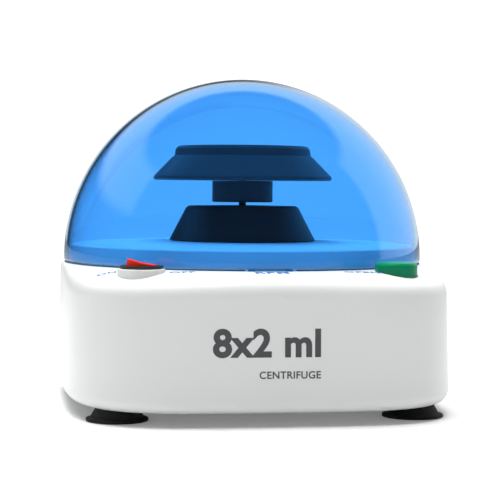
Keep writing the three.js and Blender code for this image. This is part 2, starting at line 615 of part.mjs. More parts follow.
let board = block([-36, -71, 14], [36, -25, 15.6]);
for (const place of boardPlaces) board = board.subtract(rod(1.6, place, 10, 20, 10));
piece(root, 'control_board', board, BOARD);
[boardPlaces[0], boardPlaces[3]].forEach(([x, y], i) => {
  piece(root, `board_screw_${i + 1}`, screwDown(2.4, 0.9, 5.5), STEEL, [x, y, 15.9]);
});
piece(root, 'capacitor', rod(5, [-18, -48], 15.9, 31, 20), BLACK);
let regulator = block([8, -52, 15.9], [18, -47.6, 25]);
regulator = regulator.add(block([6, -48.2, 15.9], [20, -46.8, 34]));
piece(root, 'regulator', regulator, STEEL);
piece(root, 'board_connector', block([24, -50, 15.9], [34, -42, 23]), WHITE);

let inlet = rodAlongY(5.4, [0, 0], -14, 1.9, 20);
inlet = inlet.add(rodAlongY(7.6, [0, 0], 0.4, 1.9, 20));
inlet = inlet.subtract(rodAlongY(3, [0, 0], -8, 5, 20));
inlet = inlet.add(rodAlongY(1, [0, 0], -9, 0.5, 10));
const inletPlace = [INLET_X, backWall - 3.2, INLET_Z];
piece(spindle, 'power_inlet', inlet, BLACK, inletPlace);
const nut = new THREE.CylinderGeometry(7.8, 7.8, 2.2, 6).translate(0, -6.6, 0);
piece(spindle, 'inlet_nut', solid(nut).subtract(rodAlongY(5.7, [0, 0], -10, 0, 20)), STEEL, inletPlace);

const leadPaths = {
  lead_inlet: [
    [INLET_X, 84, 30], [INLET_X - 6, 74, 26], [-62, 40, 16], [-66, 0, 14], [-66, -50, 16],
    [-64, -78, 28], [-60, -92, 47],
  ],
  lead_motor_plus: [[-10, -3, 24], [-12, -10, 21], [-14, -30, 19], [-5, -44, 19], [4, -49, 19]],
  lead_motor_minus: [[10, -3, 24], [14, -14, 21], [26, -34, 20], [29, -44, 24.5], [29, -54, 24.2]],
};
for (const [name, path] of Object.entries(leadPaths)) {
  piece(spindle, name, wire(path, 1, 18, 6), BLACK);
}

export default root;
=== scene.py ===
import json
from math import cos, pi, radians, sin

import bmesh
import bpy
import numpy as np
from mathutils import Matrix, Vector


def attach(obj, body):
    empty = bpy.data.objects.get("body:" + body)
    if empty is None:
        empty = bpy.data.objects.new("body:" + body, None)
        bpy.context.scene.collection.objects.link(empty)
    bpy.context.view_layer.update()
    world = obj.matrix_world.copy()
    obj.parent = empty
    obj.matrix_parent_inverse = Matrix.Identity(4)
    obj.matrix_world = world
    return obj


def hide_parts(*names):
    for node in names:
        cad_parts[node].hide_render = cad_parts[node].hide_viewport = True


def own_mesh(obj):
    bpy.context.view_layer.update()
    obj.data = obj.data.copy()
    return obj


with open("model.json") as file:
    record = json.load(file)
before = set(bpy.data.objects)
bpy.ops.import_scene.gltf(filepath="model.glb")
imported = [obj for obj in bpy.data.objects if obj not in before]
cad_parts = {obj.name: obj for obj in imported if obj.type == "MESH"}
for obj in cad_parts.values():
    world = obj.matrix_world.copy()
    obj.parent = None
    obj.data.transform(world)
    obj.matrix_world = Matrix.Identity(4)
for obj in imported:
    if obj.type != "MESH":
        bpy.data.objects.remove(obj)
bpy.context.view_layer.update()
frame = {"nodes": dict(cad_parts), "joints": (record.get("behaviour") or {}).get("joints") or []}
nodes = frame["nodes"]
MM = 0.001

# ---- Camera and bench -----------------------------------------------------------------------
# A studio table shot from just above the switches, a little to the left of the front.
# The lens is long, so the round lid and the square casing show almost no perspective.

SPINDLE = Vector(frame["joints"][1]["pos_m"])  # the rotor's axis
SPINDLE_Y = SPINDLE.y / MM

CAMERA_FAR = 0.918
CAMERA_HIGH = 0.1188
CAMERA_TURN = 0.1505
CAMERA_PITCH = 0.0415
CAMERA_ROLL = 0.0078
CAMERA_PAN = -0.0048
LENS_MM = 120.1


def aimed_camera():
    """A camera on a circle round the spindle, looking at it, then pitched, panned and rolled."""
    ahead = Vector((sin(CAMERA_TURN), cos(CAMERA_TURN), 0))
    right = Vector((cos(CAMERA_TURN), -sin(CAMERA_TURN), 0))
    up = Vector((0, 0, 1))
    place = Vector((0, SPINDLE.y, CAMERA_HIGH)) - ahead * CAMERA_FAR
    look = ahead * cos(CAMERA_PITCH) - up * sin(CAMERA_PITCH)
    top = up * cos(CAMERA_PITCH) + ahead * sin(CAMERA_PITCH)
    side = right * cos(CAMERA_ROLL) + top * sin(CAMERA_ROLL)
    top = top * cos(CAMERA_ROLL) - right * sin(CAMERA_ROLL)
    look, side = (
        look * cos(CAMERA_PAN) - side * sin(CAMERA_PAN),
        side * cos(CAMERA_PAN) + look * sin(CAMERA_PAN),
    )
    lens = bpy.data.cameras.new("camera")
    lens.lens = LENS_MM
    lens.sensor_width = 36
    lens.clip_end = 30
    camera = bpy.data.objects.new("camera", lens)
    facing = Matrix((side, top, -look)).transposed().to_4x4()
    camera.matrix_world = Matrix.Translation(place) @ facing
    return camera


scene = bpy.context.scene
collection = scene.collection
scene.camera = aimed_camera()
collection.objects.link(scene.camera)
scene.view_settings.view_transform = "Standard"
scene.view_settings.look = "None"


def new_material(name, colour, roughness, **sockets):
    """A Principled material with plain values on its sockets. Returns material, nodes, shader."""
    material = bpy.data.materials.new(name)
    material.use_nodes = True
    tree = material.node_tree
    shader = tree.nodes["Principled BSDF"]
    shader.inputs["Base Color"].default_value = (*colour, 1)
    shader.inputs["Roughness"].default_value = roughness
    for socket, value in sockets.items():
        shader.inputs[socket.replace("_", " ")].default_value = value
    return material, tree, shader


def maths(tree, operation, *values):
    """A Math node; each value is a number or an output to link."""
    step = tree.nodes.new("ShaderNodeMath")
    step.operation = operation
    for socket, value in zip(step.inputs, values):
        if isinstance(value, (int, float)):
            socket.default_value = value
        else:
            tree.links.new(value, socket)
    return step.outputs[0]


def ramp(tree, value, edges, ends=(0.0, 1.0), kind="SMOOTHSTEP"):
    """Goes from one end to the other as a value goes from one edge to the other."""
    step = tree.nodes.new("ShaderNodeMapRange")
    step.interpolation_type = kind
    for socket, number in zip(step.inputs[1:5], (*edges, *ends)):
        socket.default_value = number
    tree.links.new(value, step.inputs[0])
    return step.outputs[0]


BENCH_HALF = 6.0
bench_mesh = bpy.data.meshes.new("bench")
corners = [(-BENCH_HALF, -BENCH_HALF, 0), (BENCH_HALF, -BENCH_HALF, 0)]
corners += [(BENCH_HALF, BENCH_HALF, 0), (-BENCH_HALF, BENCH_HALF, 0)]
bench_mesh.from_pydata(corners, [], [(0, 1, 2, 3)])
bench = bpy.data.objects.new("bench", bench_mesh)
collection.objects.link(bench)


BENCH_WHITE = 0.8
GLOW_EDGES = (0.13, 0.6)  # metres from the middle
GLOW_ENDS = (0.13, 1.0)
GLOW_LOST = 0.8  # the share of the glow that surfaces don't get


def bench_material():
    """Matt white, glowing more and more with distance, so that the bench has no far edge. Light
    that has bounced off a surface sees a fifth of the glow."""
    material, tree, shader = new_material(
        "bench_paint", [BENCH_WHITE] * 3, 0.6, Specular_IOR_Level=0.1
    )
    shader.inputs["Emission Color"].default_value = (1, 1, 1, 1)
    place = tree.nodes.new("ShaderNodeTexCoord")
    length = tree.nodes.new("ShaderNodeVectorMath")
    length.operation = "LENGTH"
    tree.links.new(place.outputs["Object"], length.inputs[0])
    glow = ramp(tree, length.outputs["Value"], GLOW_EDGES, GLOW_ENDS, "LINEAR")
    ray = tree.nodes.new("ShaderNodeLightPath")
    bounces = maths(tree, "ADD", ray.outputs["Is Diffuse Ray"], ray.outputs["Glossy Depth"])
    share = maths(tree, "MULTIPLY_ADD", maths(tree, "MINIMUM", bounces, 1.0), -GLOW_LOST, 1.0)
    strength = maths(tree, "MULTIPLY", glow, share)
    tree.links.new(strength, shader.inputs["Emission Strength"])
    return material


bench_mesh.materials.append(bench_material())

SKY_SEEN = 1.2  # straight on and through the lid
SKY_FILL = 0.07  # on matt surfaces
SKY_GLOSS_DARK = 0.04  # in reflections: the dark ceiling and the room in front
SKY_GLOSS_WALL = 0.95  # in reflections: the white walls behind and at the sides
WALL_TOP = (0.66, 0.74)  # the walls end at this rise of the direction
WALL_FRONT = (-0.06, 0.04)  # and at this Y
WALL_LEFT_FOOT = (0.3, 0.42)  # the left wall is dark below this rise
WALL_RIGHT = (0.1, 0.3)  # the right wall starts at this X
WALL_BACK = (0.955, 0.99)  # the middle of the back wall is white beyond this Y


def studio_sky():
    """A white studio. Reflections see white walls behind and at both sides, under a dark
    ceiling, by the X, Y and Z of the direction."""
    sky_world = bpy.data.worlds.new("studio")
    sky_world.use_nodes = True
    tree = sky_world.node_tree
    sky = tree.nodes["Background"]
    sky.inputs["Color"].default_value = (1, 1, 1, 1)
    ray = tree.nodes.new("ShaderNodeLightPath")
    place = tree.nodes.new("ShaderNodeTexCoord")
    split = tree.nodes.new("ShaderNodeSeparateXYZ")
    tree.links.new(place.outputs["Generated"], split.inputs[0])
    x, y, z = split.outputs
    below = maths(tree, "SUBTRACT", 1.0, ramp(tree, z, WALL_TOP))
    wall = maths(tree, "MULTIPLY", below, ramp(tree, y, WALL_FRONT))
    lit = maths(tree, "MAXIMUM", ramp(tree, z, WALL_LEFT_FOOT), ramp(tree, x, WALL_RIGHT))
    lit = maths(tree, "MAXIMUM", lit, ramp(tree, y, WALL_BACK))
    wall = maths(tree, "MULTIPLY", wall, lit)
    gloss = maths(tree, "MULTIPLY_ADD", wall, SKY_GLOSS_WALL - SKY_GLOSS_DARK, SKY_GLOSS_DARK)
    matt = ray.outputs["Is Diffuse Ray"]
    plain = maths(tree, "MULTIPLY_ADD", matt, SKY_FILL - SKY_SEEN, SKY_SEEN)
    glossy = maths(tree, "SUBTRACT", ray.outputs["Glossy Depth"], matt)
    bounced = maths(tree, "GREATER_THAN", glossy, 0.5)
    change = maths(tree, "SUBTRACT", gloss, plain)
    strength = maths(tree, "MULTIPLY_ADD", bounced, change, plain)
    tree.links.new(strength, sky.inputs["Strength"])
    return sky_world


scene.world = studio_sky()


def softbox(name, place, aim, size, watts):
    """A square area lamp at place, facing aim. It doesn't show in reflections."""
    lamp = bpy.data.lights.new(name, "AREA")
    lamp.energy = watts
    lamp.shape = "RECTANGLE"
    lamp.size, lamp.size_y = size
    box = bpy.data.objects.new(name, lamp)
    turn = (Vector(aim) - Vector(place)).to_track_quat("-Z", "Y")
    box.matrix_world = Matrix.Translation(place) @ turn.to_matrix().to_4x4()
    box.visible_glossy = False
    box.visible_transmission = False
    collection.objects.link(box)


softbox("top_light", (-0.1, 0.12, 1.3), (0, 0, 0.05), (1.1, 1.1), 37)
softbox("back_light", (0.15, 0.8, 1.1), (0, 0, 0.05), (1.4, 0.8), 5)

# ---- Casing ---------------------------------------------------------------------------------
# One injection-moulded shell in white ABS: a rounded square whose shoulders fall away from a
# flat round pad under the lid. It is moulded with a round boss for the power switch, and its
# lower edge turns in under the base.

HALF_WIDTH = 100.0
HALF_DEPTH = 112.0
CORNER_POWER = 4
BOTTOM = 6.4
BOTTOM_FILLET = 7.0
DRAFT = 1.2
PAD_RADIUS = 98.5
PAD_Z = 74.2
SHOULDER_POWER = 2.8
WALL = 2.5
LIP = 9.6
OPENING_RADIUS = 94.3
CONTROL_X = 64.0
CONTROL_Y = -94.0
BOSS_RADIUS = 11.8
BOSS_TOP = 75.4
CASING_SIDES = 384
SWITCH_AT = (-CONTROL_X, CONTROL_Y + SPINDLE_Y)
BUTTON_AT = (CONTROL_X, CONTROL_Y + SPINDLE_Y)


def outline_radius(turn, inset):
    """How far the rounded-square outline |x/a|^n + |y/b|^n = 1, set in by inset, is from the
    spindle in a direction, by halving the bracket forty times."""
    near = np.zeros_like(turn)
    far = np.full_like(turn, 2 * HALF_DEPTH)
    for _ in range(40):
        middle = (near + far) / 2
        across = np.abs(middle * np.cos(turn)) / (HALF_WIDTH - inset)
        along = np.abs(middle * np.sin(turn) + SPINDLE_Y) / (HALF_DEPTH - inset)
        inside = across**CORNER_POWER + along**CORNER_POWER < 1
        near = np.where(inside, middle, near)
        far = np.where(inside, far, middle)
    return near


def shoulder_drop(run):
    """How far the shoulder falls: 3 mm where the pad nearly meets the wall, 15 mm at a corner."""
    return 3 + 12 * (1 - np.exp(-run / 8))


def shoulder(turn, wall, steps):
    """The shoulder as rows of radius and height: a quarter of a superellipse in each direction."""
    pad = PAD_RADIUS - (WALL + 0.1 if wall else 0)
    run = outline_radius(turn, DRAFT + wall) - pad
    tilt = np.linspace(0, pi / 2, steps + 1)[:, None]
    out = np.abs(np.cos(tilt)) ** (2 / SHOULDER_POWER)
    up = np.sin(tilt) ** (2 / SHOULDER_POWER)
    return pad + run * out, PAD_Z - wall - shoulder_drop(run) * (1 - up)


def level(turn, inset, z):
    """One row of the outline at a height."""
    return outline_radius(turn, inset)[None], np.full((1, turn.size), z)


def casing_skin():
    """The whole shell as one closed loop of rows: down the inside from the opening, round the
    turned-in lip, up the outside over the fillet and the shoulder to the opening's edge."""
    turn = np.arange(CASING_SIDES) * 2 * pi / CASING_SIDES
    ring = np.ones((1, turn.size))
    rows = []
    for z in (PAD_Z - WALL, PAD_Z - 0.5):
        rows.append((OPENING_RADIUS * ring, z * ring))
    for tilt in np.linspace(0, pi / 2, 5):
        out = OPENING_RADIUS + 0.5 * (1 - cos(tilt))
        rows.append((out * ring, (PAD_Z - 0.5 + 0.5 * sin(tilt)) * ring))
    rows.append(((OPENING_RADIUS + 2.5) * ring, PAD_Z * ring))
    radius, height = shoulder(turn, 0.0, 28)
    rows.append((radius[::-1], height[::-1]))
    for z, share in ((56, 0.9), (50, 0.75), (42, 0.58), (34, 0.4), (26, 0.24), (19, 0.1)):
        rows.append(level(turn, DRAFT * share, z))
    for tilt in np.linspace(pi / 2, 0, 12):
        rise = BOTTOM_FILLET * (1 - cos(tilt))
        rows.append(level(turn, BOTTOM_FILLET * (1 - sin(tilt)), BOTTOM + rise))
    rows.append(level(turn, LIP - 0.4, BOTTOM))
    rows.append(level(turn, LIP, BOTTOM + 0.4))
    rows.append(level(turn, LIP, 9.4))
    rows.append(level(turn, WALL, 13))
    rows.append(level(turn, WALL + DRAFT * 0.5, 36))
    radius, height = shoulder(turn, WALL, 10)
    rows.append((radius, height))
    radius = np.concatenate([r for r, _ in rows])
    height = np.concatenate([z for _, z in rows])
    return np.stack([radius * np.cos(turn), radius * np.sin(turn) + SPINDLE_Y, height], -1)


def mesh_piece(name, points, faces, tidy=True):
    """A mesh object from points in millimetres and lists of their numbers."""
    mesh = bpy.data.meshes.new(name)
    mesh.from_pydata((np.asarray(points, float) * MM).tolist(), [], faces)
    if tidy:
        tidy_mesh(mesh)
    piece = bpy.data.objects.new(name, mesh)
    collection.objects.link(piece)
    return piece


def surface_piece(name, rows, loop=False):
    """A grid of points (rows, columns, 3) in millimetres as a mesh object. Columns run right
    round; the rows close too if loop is set. Points that meet on an axis are merged."""
    count, width, _ = rows.shape
    a = np.arange(count if loop else count - 1)[:, None] * width
    b = (np.arange(count if loop else count - 1)[:, None] + 1) % count * width
    here = np.arange(width)[None]
    there = (here + 1) % width
    quads = np.stack([a + here, a + there, b + there, b + here], -1).reshape(-1, 4)
    return mesh_piece(name, rows.reshape(-1, 3), quads.tolist())


def tidy_mesh(mesh):
    """Merges doubles, drops collapsed faces and turns every face outwards."""
    work = bmesh.new()
    work.from_mesh(mesh)
    bmesh.ops.remove_doubles(work, verts=work.verts, dist=1e-7)
    bmesh.ops.dissolve_degenerate(work, edges=work.edges, dist=1e-8)
    bmesh.ops.recalc_face_normals(work, faces=work.faces)
    work.to_mesh(mesh)
    work.free()


def turned_rows(profile, sides, centre=(0.0, None)):
    """A profile of radius and height, taken round an upright axis."""
    profile = np.asarray(profile, float)
    turn = np.arange(sides) * 2 * pi / sides
    x = centre[0] + profile[:, :1] * np.cos(turn)
    y = (SPINDLE_Y if centre[1] is None else centre[1]) + profile[:, :1] * np.sin(turn)
    return np.stack([x, y, np.broadcast_to(profile[:, 1:], x.shape)], -1)


def turned(name, profile, sides=128, centre=(0.0, None), loop=False):
    """A turned piece. A profile that starts and ends on the axis closes itself."""
    return surface_piece(name, turned_rows(profile, sides, centre), loop)


def cutter(radius, place, low, high, sides=48):
    """A plain upright round tool."""
    return turned("cutter", [[0, low], [radius, low], [radius, high], [0, high]], sides, place)


def eased(points, radius, steps=4, loop=False):
    """A profile with its corners rounded: each corner becomes an arc that touches both sides.
    radius is one number or one for each corner."""
    points = np.asarray(points, float)
    radii = np.broadcast_to(radius, len(points))
    out = []
    for i, corner in enumerate(points):
        if not loop and i in (0, len(points) - 1):
            out.append(corner)
            continue
        back = points[i - 1] - corner
        ahead = points[(i + 1) % len(points)] - corner
        near = min(np.linalg.norm(back), np.linalg.norm(ahead)) * 0.49
        back = back / np.linalg.norm(back)
        ahead = ahead / np.linalg.norm(ahead)
        half = np.arccos(np.clip(back @ ahead, -1, 1)) / 2
        if radii[i] <= 0 or half > pi / 2 - 0.02:
            out.append(corner)
            continue
        reach = min(radii[i] / np.tan(half), near)
        r = reach * np.tan(half)
        middle = corner + (back + ahead) / np.linalg.norm(back + ahead) * r / sin(half)
        start, end = corner + back * reach - middle, corner + ahead * reach - middle
        share = np.linspace(0, 1, steps + 1)[:, None]
        arc = start * (1 - share) + end * share
        out.extend(middle + arc / np.linalg.norm(arc, axis=1)[:, None] * r)
    return np.array(out)


def boxed(name, low, high):
    """A plain box between two corners in millimetres, for cutting with or to be bevelled."""
    (x0, y0, z0), (x1, y1, z1) = low, high
    points = [(x, y, z) for z in (z0, z1) for y in (y0, y1) for x in (x0, x1)]
    faces = [(0, 2, 3, 1), (4, 5, 7, 6), (0, 1, 5, 4), (2, 6, 7, 3), (0, 4, 6, 2), (1, 3, 7, 5)]
    return mesh_piece(name, points, faces, tidy=False)


def laid_along(piece, axis, place):
    """Turns a piece made upright about the origin to lie along X or Y, and moves it to place."""
    turn = {"X": Matrix.Rotation(pi / 2, 4, "Y"), "Y": Matrix.Rotation(-pi / 2, 4, "X")}[axis]
    piece.data.transform(Matrix.Translation(Vector(place) * MM) @ turn)
    return piece


def bake_modifiers(piece):
    """Replaces a piece's mesh by what its modifiers make of it."""
    graph = bpy.context.evaluated_depsgraph_get()
    made = bpy.data.meshes.new_from_object(piece.evaluated_get(graph))
    piece.modifiers.clear()
    piece.data = made
    return piece


def joined(piece, tools, operation):
    """Cuts a piece by its tools, or adds them to it, and removes the tools."""
    for tool in tools:
        step = piece.modifiers.new(operation, "BOOLEAN")
        step.operation = operation
        step.solver = "EXACT"
        step.object = tool
    bake_modifiers(piece)
    for tool in tools:
        bpy.data.objects.remove(tool)
    return piece


def bevelled(piece, width, segments=3, angle=35):
    """Rounds the edges of a piece that are sharper than an angle. Width in millimetres."""
    step = piece.modifiers.new("edges", "BEVEL")
    step.width = width * MM
    step.segments = segments
    step.limit_method = "ANGLE"
    step.angle_limit = radians(angle)
    return bake_modifiers(piece)


def smoothed(piece, angle=32):
    """Smooth shading that keeps edges sharper than an angle."""
    piece.data.polygons.foreach_set("use_smooth", np.ones(len(piece.data.polygons), bool))
    piece.data.set_sharp_from_angle(angle=radians(angle))
    return piece


def finished(piece, body, slot, material, *replaced):
    """Shades a piece, paints it, hangs it on the body it rides on, and hides the CAD nodes it
    stands for.
    """
    smoothed(piece)
    piece.data.materials.clear()
    piece.data.materials.append(material)
    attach(piece, body)
    if replaced:
        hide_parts(*replaced)
    return piece


def group(name, inputs, outputs):
    """A shader node group with named sockets: inputs as (name, type, value)."""
    tree = bpy.data.node_groups.new(name, "ShaderNodeTree")
    for label, kind, value in inputs:
        socket = tree.interface.new_socket(label, in_out="INPUT", socket_type=kind)
        socket.default_value = value
    for label, kind in outputs:
        tree.interface.new_socket(label, in_out="OUTPUT", socket_type=kind)
    return tree, tree.nodes.new("NodeGroupInput"), tree.nodes.new("NodeGroupOutput")


def noise(tree, place, scale, detail, distortion=0.0):
    """A noise texture; its scale is a number or an output to link."""
    texture = tree.nodes.new("ShaderNodeTexNoise")
    tree.links.new(place, texture.inputs["Vector"])
    if isinstance(scale, (int, float)):
        texture.inputs["Scale"].default_value = scale
    else:
        tree.links.new(scale, texture.inputs["Scale"])
    texture.inputs["Detail"].default_value = detail
    texture.inputs["Distortion"].default_value = distortion
    return texture


def bumped(tree, height, strength, distance, result):
    """Turns a height into the group's normal."""
    bump = tree.nodes.new("ShaderNodeBump")
    bump.inputs["Distance"].default_value = distance
    if isinstance(strength, (int, float)):
        bump.inputs["Strength"].default_value = strength
    else:
        tree.links.new(strength, bump.inputs["Strength"])
    tree.links.new(height, bump.inputs["Height"])
    tree.links.new(bump.outputs["Normal"], result.inputs["Normal"])


SKIN = [
    ("Color", "NodeSocketColor"),
    ("Roughness", "NodeSocketFloat"),
    ("Normal", "NodeSocketVector"),
]


def textured(tree, shader, shared, outputs, **values):
    """Places a node group in a material, sets its inputs, and links its outputs to the shader."""
    use = tree.nodes.new("ShaderNodeGroup")
    use.node_tree = shared
    for socket, value in values.items():
        use.inputs[socket.replace("_", " ")].default_value = value
    for output, socket in outputs:
        tree.links.new(use.outputs[output], shader.inputs[socket])


SKIN_LINKS = (("Color", "Base Color"), ("Roughness", "Roughness"), ("Normal", "Normal"))


def moulded_group():
    """Moulded plastic: slow colour drift, a fine spark-eroded texture as bump, and patches of
    slightly different gloss with fine wiping marks."""
    tree, given, result = group(
        "moulded_plastic",
        [
            ("Color", "NodeSocketColor", (0.8, 0.8, 0.8, 1)),
            ("Drift", "NodeSocketFloat", 0.03),
            ("Roughness", "NodeSocketFloat", 0.4),
            ("Gloss Change", "NodeSocketFloat", 0.06),
            ("Grain Size", "NodeSocketFloat", 1800.0),
            ("Grain", "NodeSocketFloat", 0.05),
        ],
        SKIN,
    )
    place = tree.nodes.new("ShaderNodeTexCoord").outputs["Object"]
    drift = noise(tree, place, 14, 3)
    swing = maths(tree, "MULTIPLY", drift.outputs["Fac"], given.outputs["Drift"])
    shade = tree.nodes.new("ShaderNodeHueSaturation")
    tree.links.new(maths(tree, "SUBTRACT", 1.0, swing), shade.inputs["Value"])
    tree.links.new(given.outputs["Color"], shade.inputs["Color"])
    tree.links.new(shade.outputs["Color"], result.inputs["Color"])
    wipe = noise(tree, place, 55, 6, 1.2).outputs["Fac"]
    change, plain = given.outputs["Gloss Change"], given.outputs["Roughness"]
    tree.links.new(maths(tree, "MULTIPLY_ADD", wipe, change, plain), result.inputs["Roughness"])
    grain = noise(tree, place, given.outputs["Grain Size"], 2)
    bumped(tree, grain.outputs["Fac"], given.outputs["Grain"], 0.0002, result)
    return tree


moulded = moulded_group()


def moulded_material(
    name, colour, roughness, drift=0.04, change=0.06, grain=0.05, size=1800, **sockets
):
    """A plastic with the moulded texture in its colour, roughness and normal."""
    material, tree, shader = new_material(name, colour, roughness, **sockets)
    textured(
        tree, shader, moulded, SKIN_LINKS, Color=(*colour, 1), Drift=drift, Roughness=roughness,
        Gloss_Change=change, Grain_Size=size, Grain=grain,
    )
    return material


white_abs = moulded_material("white_abs", (0.78, 0.79, 0.79), 0.3, drift=0.02, IOR=1.5)

INLET_X = -45.0
INLET_Z = 30.0
INLET_BOSS = 11.0
JACK_RADIUS = 5.7
NOTCH_HALF = 20.4


def on_back(piece, depth):
    """Lays a round piece along Y where the inlet is, at a depth in from the back wall."""
    return laid_along(piece, "Y", (INLET_X, HALF_DEPTH - depth, INLET_Z))


casing = surface_piece("casing_shell", casing_skin(), loop=True)
boss_corners = [[9.9, 62], [BOSS_RADIUS, 62], [BOSS_RADIUS, BOSS_TOP], [9.9, BOSS_TOP]]
boss = turned("boss", eased(boss_corners, [0, 0, 0.5, 0.3], loop=True), 96, SWITCH_AT, loop=True)
joined(casing, [on_back(cutter(INLET_BOSS, (0, 0), 0, 6.4, 64), 8)], "UNION")
pocket = eased([[0, 0], [8.4, 0], [8.4, 3.2], [9.4, 4.2], [9.4, 9], [0, 9]], 0)
slot_low, slot_high = (-11.8, SPINDLE_Y - 98.2, 60), (11.8, SPINDLE_Y - 90, 90)
notch_low = (-NOTCH_HALF - 3.9, SPINDLE_Y + 94.6, 66.2)
openings = [
    cutter(BOSS_RADIUS - 0.6, SWITCH_AT, 50, 90, 96),
    cutter(11, BUTTON_AT, 50, 90, 96),
    on_back(turned("pocket", pocket, 64, (0, 0)), 3.2),
    on_back(cutter(JACK_RADIUS, (0, 0), 0, 20), 14),
    boxed("catch_slot", slot_low, slot_high),
    boxed("hinge_notch", notch_low, (NOTCH_HALF + 3.9, 140, 90)),
]
joined(casing, openings, "DIFFERENCE")
joined(casing, [boss], "UNION")
finished(casing, "base", "white_casing", white_abs, "upper_casing")

# ---- Printed words --------------------------------------------------------------------------
# Ink pad-printed on the casing: blue words on the shoulder that say what the controls do, and
# a dark grey size mark on the front wall.

INK_THICK = 0.04


def ink_material(name, colour):
    """Print ink: flat colour a little broken by the texture underneath."""
    return moulded_material(name, colour, 0.42, drift=0.12, change=0.1, grain=0.04, size=2600)


def letters(name, words, width, spacing, weight):
    """Words as a flat mesh, width millimetres wide, centred on the origin, cut finely enough to
    be laid on a curved wall."""
    curve = bpy.data.curves.new(name, "FONT")
    curve.body = words
    curve.size = 1
    curve.space_character = spacing
    curve.offset = weight
    curve.resolution_u = 5
    source = bpy.data.objects.new(name, curve)
    collection.objects.link(source)
    graph = bpy.context.evaluated_depsgraph_get()
    mesh = bpy.data.meshes.new_from_object(source.evaluated_get(graph))
    bpy.data.objects.remove(source)
    work = bmesh.new()
    work.from_mesh(mesh)
    bmesh.ops.remove_doubles(work, verts=work.verts, dist=1e-4)
    bmesh.ops.triangulate(work, faces=work.faces)
    bmesh.ops.subdivide_edges(work, edges=work.edges, cuts=2, use_grid_fill=True)
    work.to_mesh(mesh)
    work.free()
    piece = bpy.data.objects.new(name, mesh)
    collection.objects.link(piece)
    flat = points_of(piece)
    low, high = flat.min(0), flat.max(0)
    flat = (flat - (low + high) / 2) * (width / (high[0] - low[0]))
    set_points(piece, flat)
    return piece


def points_of(piece):
    """A piece's vertices as an array, in the mesh's own units."""
    flat = np.empty(len(piece.data.vertices) * 3)
    piece.data.vertices.foreach_get("co", flat)
    return flat.reshape(-1, 3)


def set_points(piece, points):
    """Writes an array of vertices back into a piece."""
    piece.data.vertices.foreach_set("co", points.astype(np.float32).ravel())
    piece.data.update()


def top_height(x, y):
    """Height of the casing's top at a place: flat inside the pad, a quarter superellipse out to
    the wall beyond it."""
    out = np.hypot(x, y - SPINDLE_Y)
    turn = np.arctan2(y - SPINDLE_Y, x)
    run = outline_radius(turn, DRAFT) - PAD_RADIUS
    share = np.clip((out - PAD_RADIUS) / run, 0, 1)
    up = np.sqrt(1 - share**SHOULDER_POWER) ** (2 / SHOULDER_POWER)
    return PAD_Z - shoulder_drop(run) * (1 - up)


def front_depth(x, z):
    """Y of the front wall at a place: the outline, set in by the draft at that height."""
    inset = np.interp(z, *FRONT_DRAFT)
    across = np.abs(x) / (HALF_WIDTH - inset)
    return -(HALF_DEPTH - inset) * (1 - across**CORNER_POWER) ** (1 / CORNER_POWER)


def inked(piece, lie, material):
    """Lays flat letters with lie(x, y) -> points, and gives the ink its thickness."""
    flat = points_of(piece)
    set_points(piece, lie(flat[:, 0], flat[:, 1]) * MM)
    film = piece.modifiers.new("film", "SOLIDIFY")
    film.thickness = INK_THICK * MM
    film.offset = 1
    bake_modifiers(piece)
    return finished(piece, "base", "white_casing", material)


FRONT_DRAFT = ([13.4, 19, 26, 34, 42, 50, 56, 60], [0, 0.12, 0.288, 0.48, 0.696, 0.9, 1.08, 1.2])
INK_LIFT = 0.03
blue_ink = ink_material("blue_ink", (0.03, 0.16, 0.42))
grey_ink = ink_material("grey_ink", (0.065, 0.067, 0.072))

TOP_WORDS = (  # word, width, place from the spindle
    ("ON", 9.6, -80.5, -86.0),
    ("OFF", 12.4, -44.5, -99.6),
    ("RPM", 16.4, -1.0, -105.4),
    ("OPEN", 17.9, 45.0, -99.8),
)
for word, width, x, y in TOP_WORDS:
    def on_top(u, v, x=x, y=y + SPINDLE_Y):
        """Letters lying on the shoulder, reading from the front."""
        return np.stack([x + u, y + v, top_height(x + u, y + v) + 2 * INK_LIFT], -1)

    inked(letters("print_" + word.lower(), word, width, 1.15, 0.022), on_top, blue_ink)

FRONT_X = -5.7
FRONT_WORDS = (  # piece, words, width, X and Z of the middle, added weight
    ("print_size", "8x2 ml", 52.6, FRONT_X, 41.0, 0.035),
    ("print_kind", "CENTRIFUGE", 30.0, FRONT_X + 11.3, 25.6, 0.02),
)
for name, words, width, x, z, weight in FRONT_WORDS:
    def on_front(u, v, x=x, z=z):
        """Letters standing on the front wall."""
        return np.stack([x + u, front_depth(x + u, z + v) - INK_LIFT, z + v], -1)

    inked(letters(name, words, width, 1.05, weight), on_front, grey_ink)

# ---- Base plate -----------------------------------------------------------------------------
# A flat moulded plate that closes the casing from below, screwed up into its four posts. Seven
# slots let the motor's heat out.

PLATE_Z = 6.9
PLATE_THICK = 2.6
PLATE_GAP = 0.3
POSTS = ((84.0, -57.5), (60.0, 80.5))  # the right half, from the spindle
FOOT_X = 75.0
FOOT_Y = 77.5
VENTS = 7
VENT_STEP = 9.0
VENT_HALF = 1.5
VENT_FROM, VENT_TO = 20.0, 62.0


def prism(name, outline, low, high):
    """A flat outline of X and Y, carried up Z from low to high, with one face at each end."""
    outline = np.asarray(outline, float)
    count = len(outline)
    points = np.concatenate([np.c_[outline, np.full(count, z)] for z in (low, high)])
    ring = np.arange(count)
    after = (ring + 1) % count
    sides = np.stack([ring, after, after + count, ring + count], -1).tolist()
    return mesh_piece(name, points, [*sides, ring[::-1].tolist(), (ring + count).tolist()])


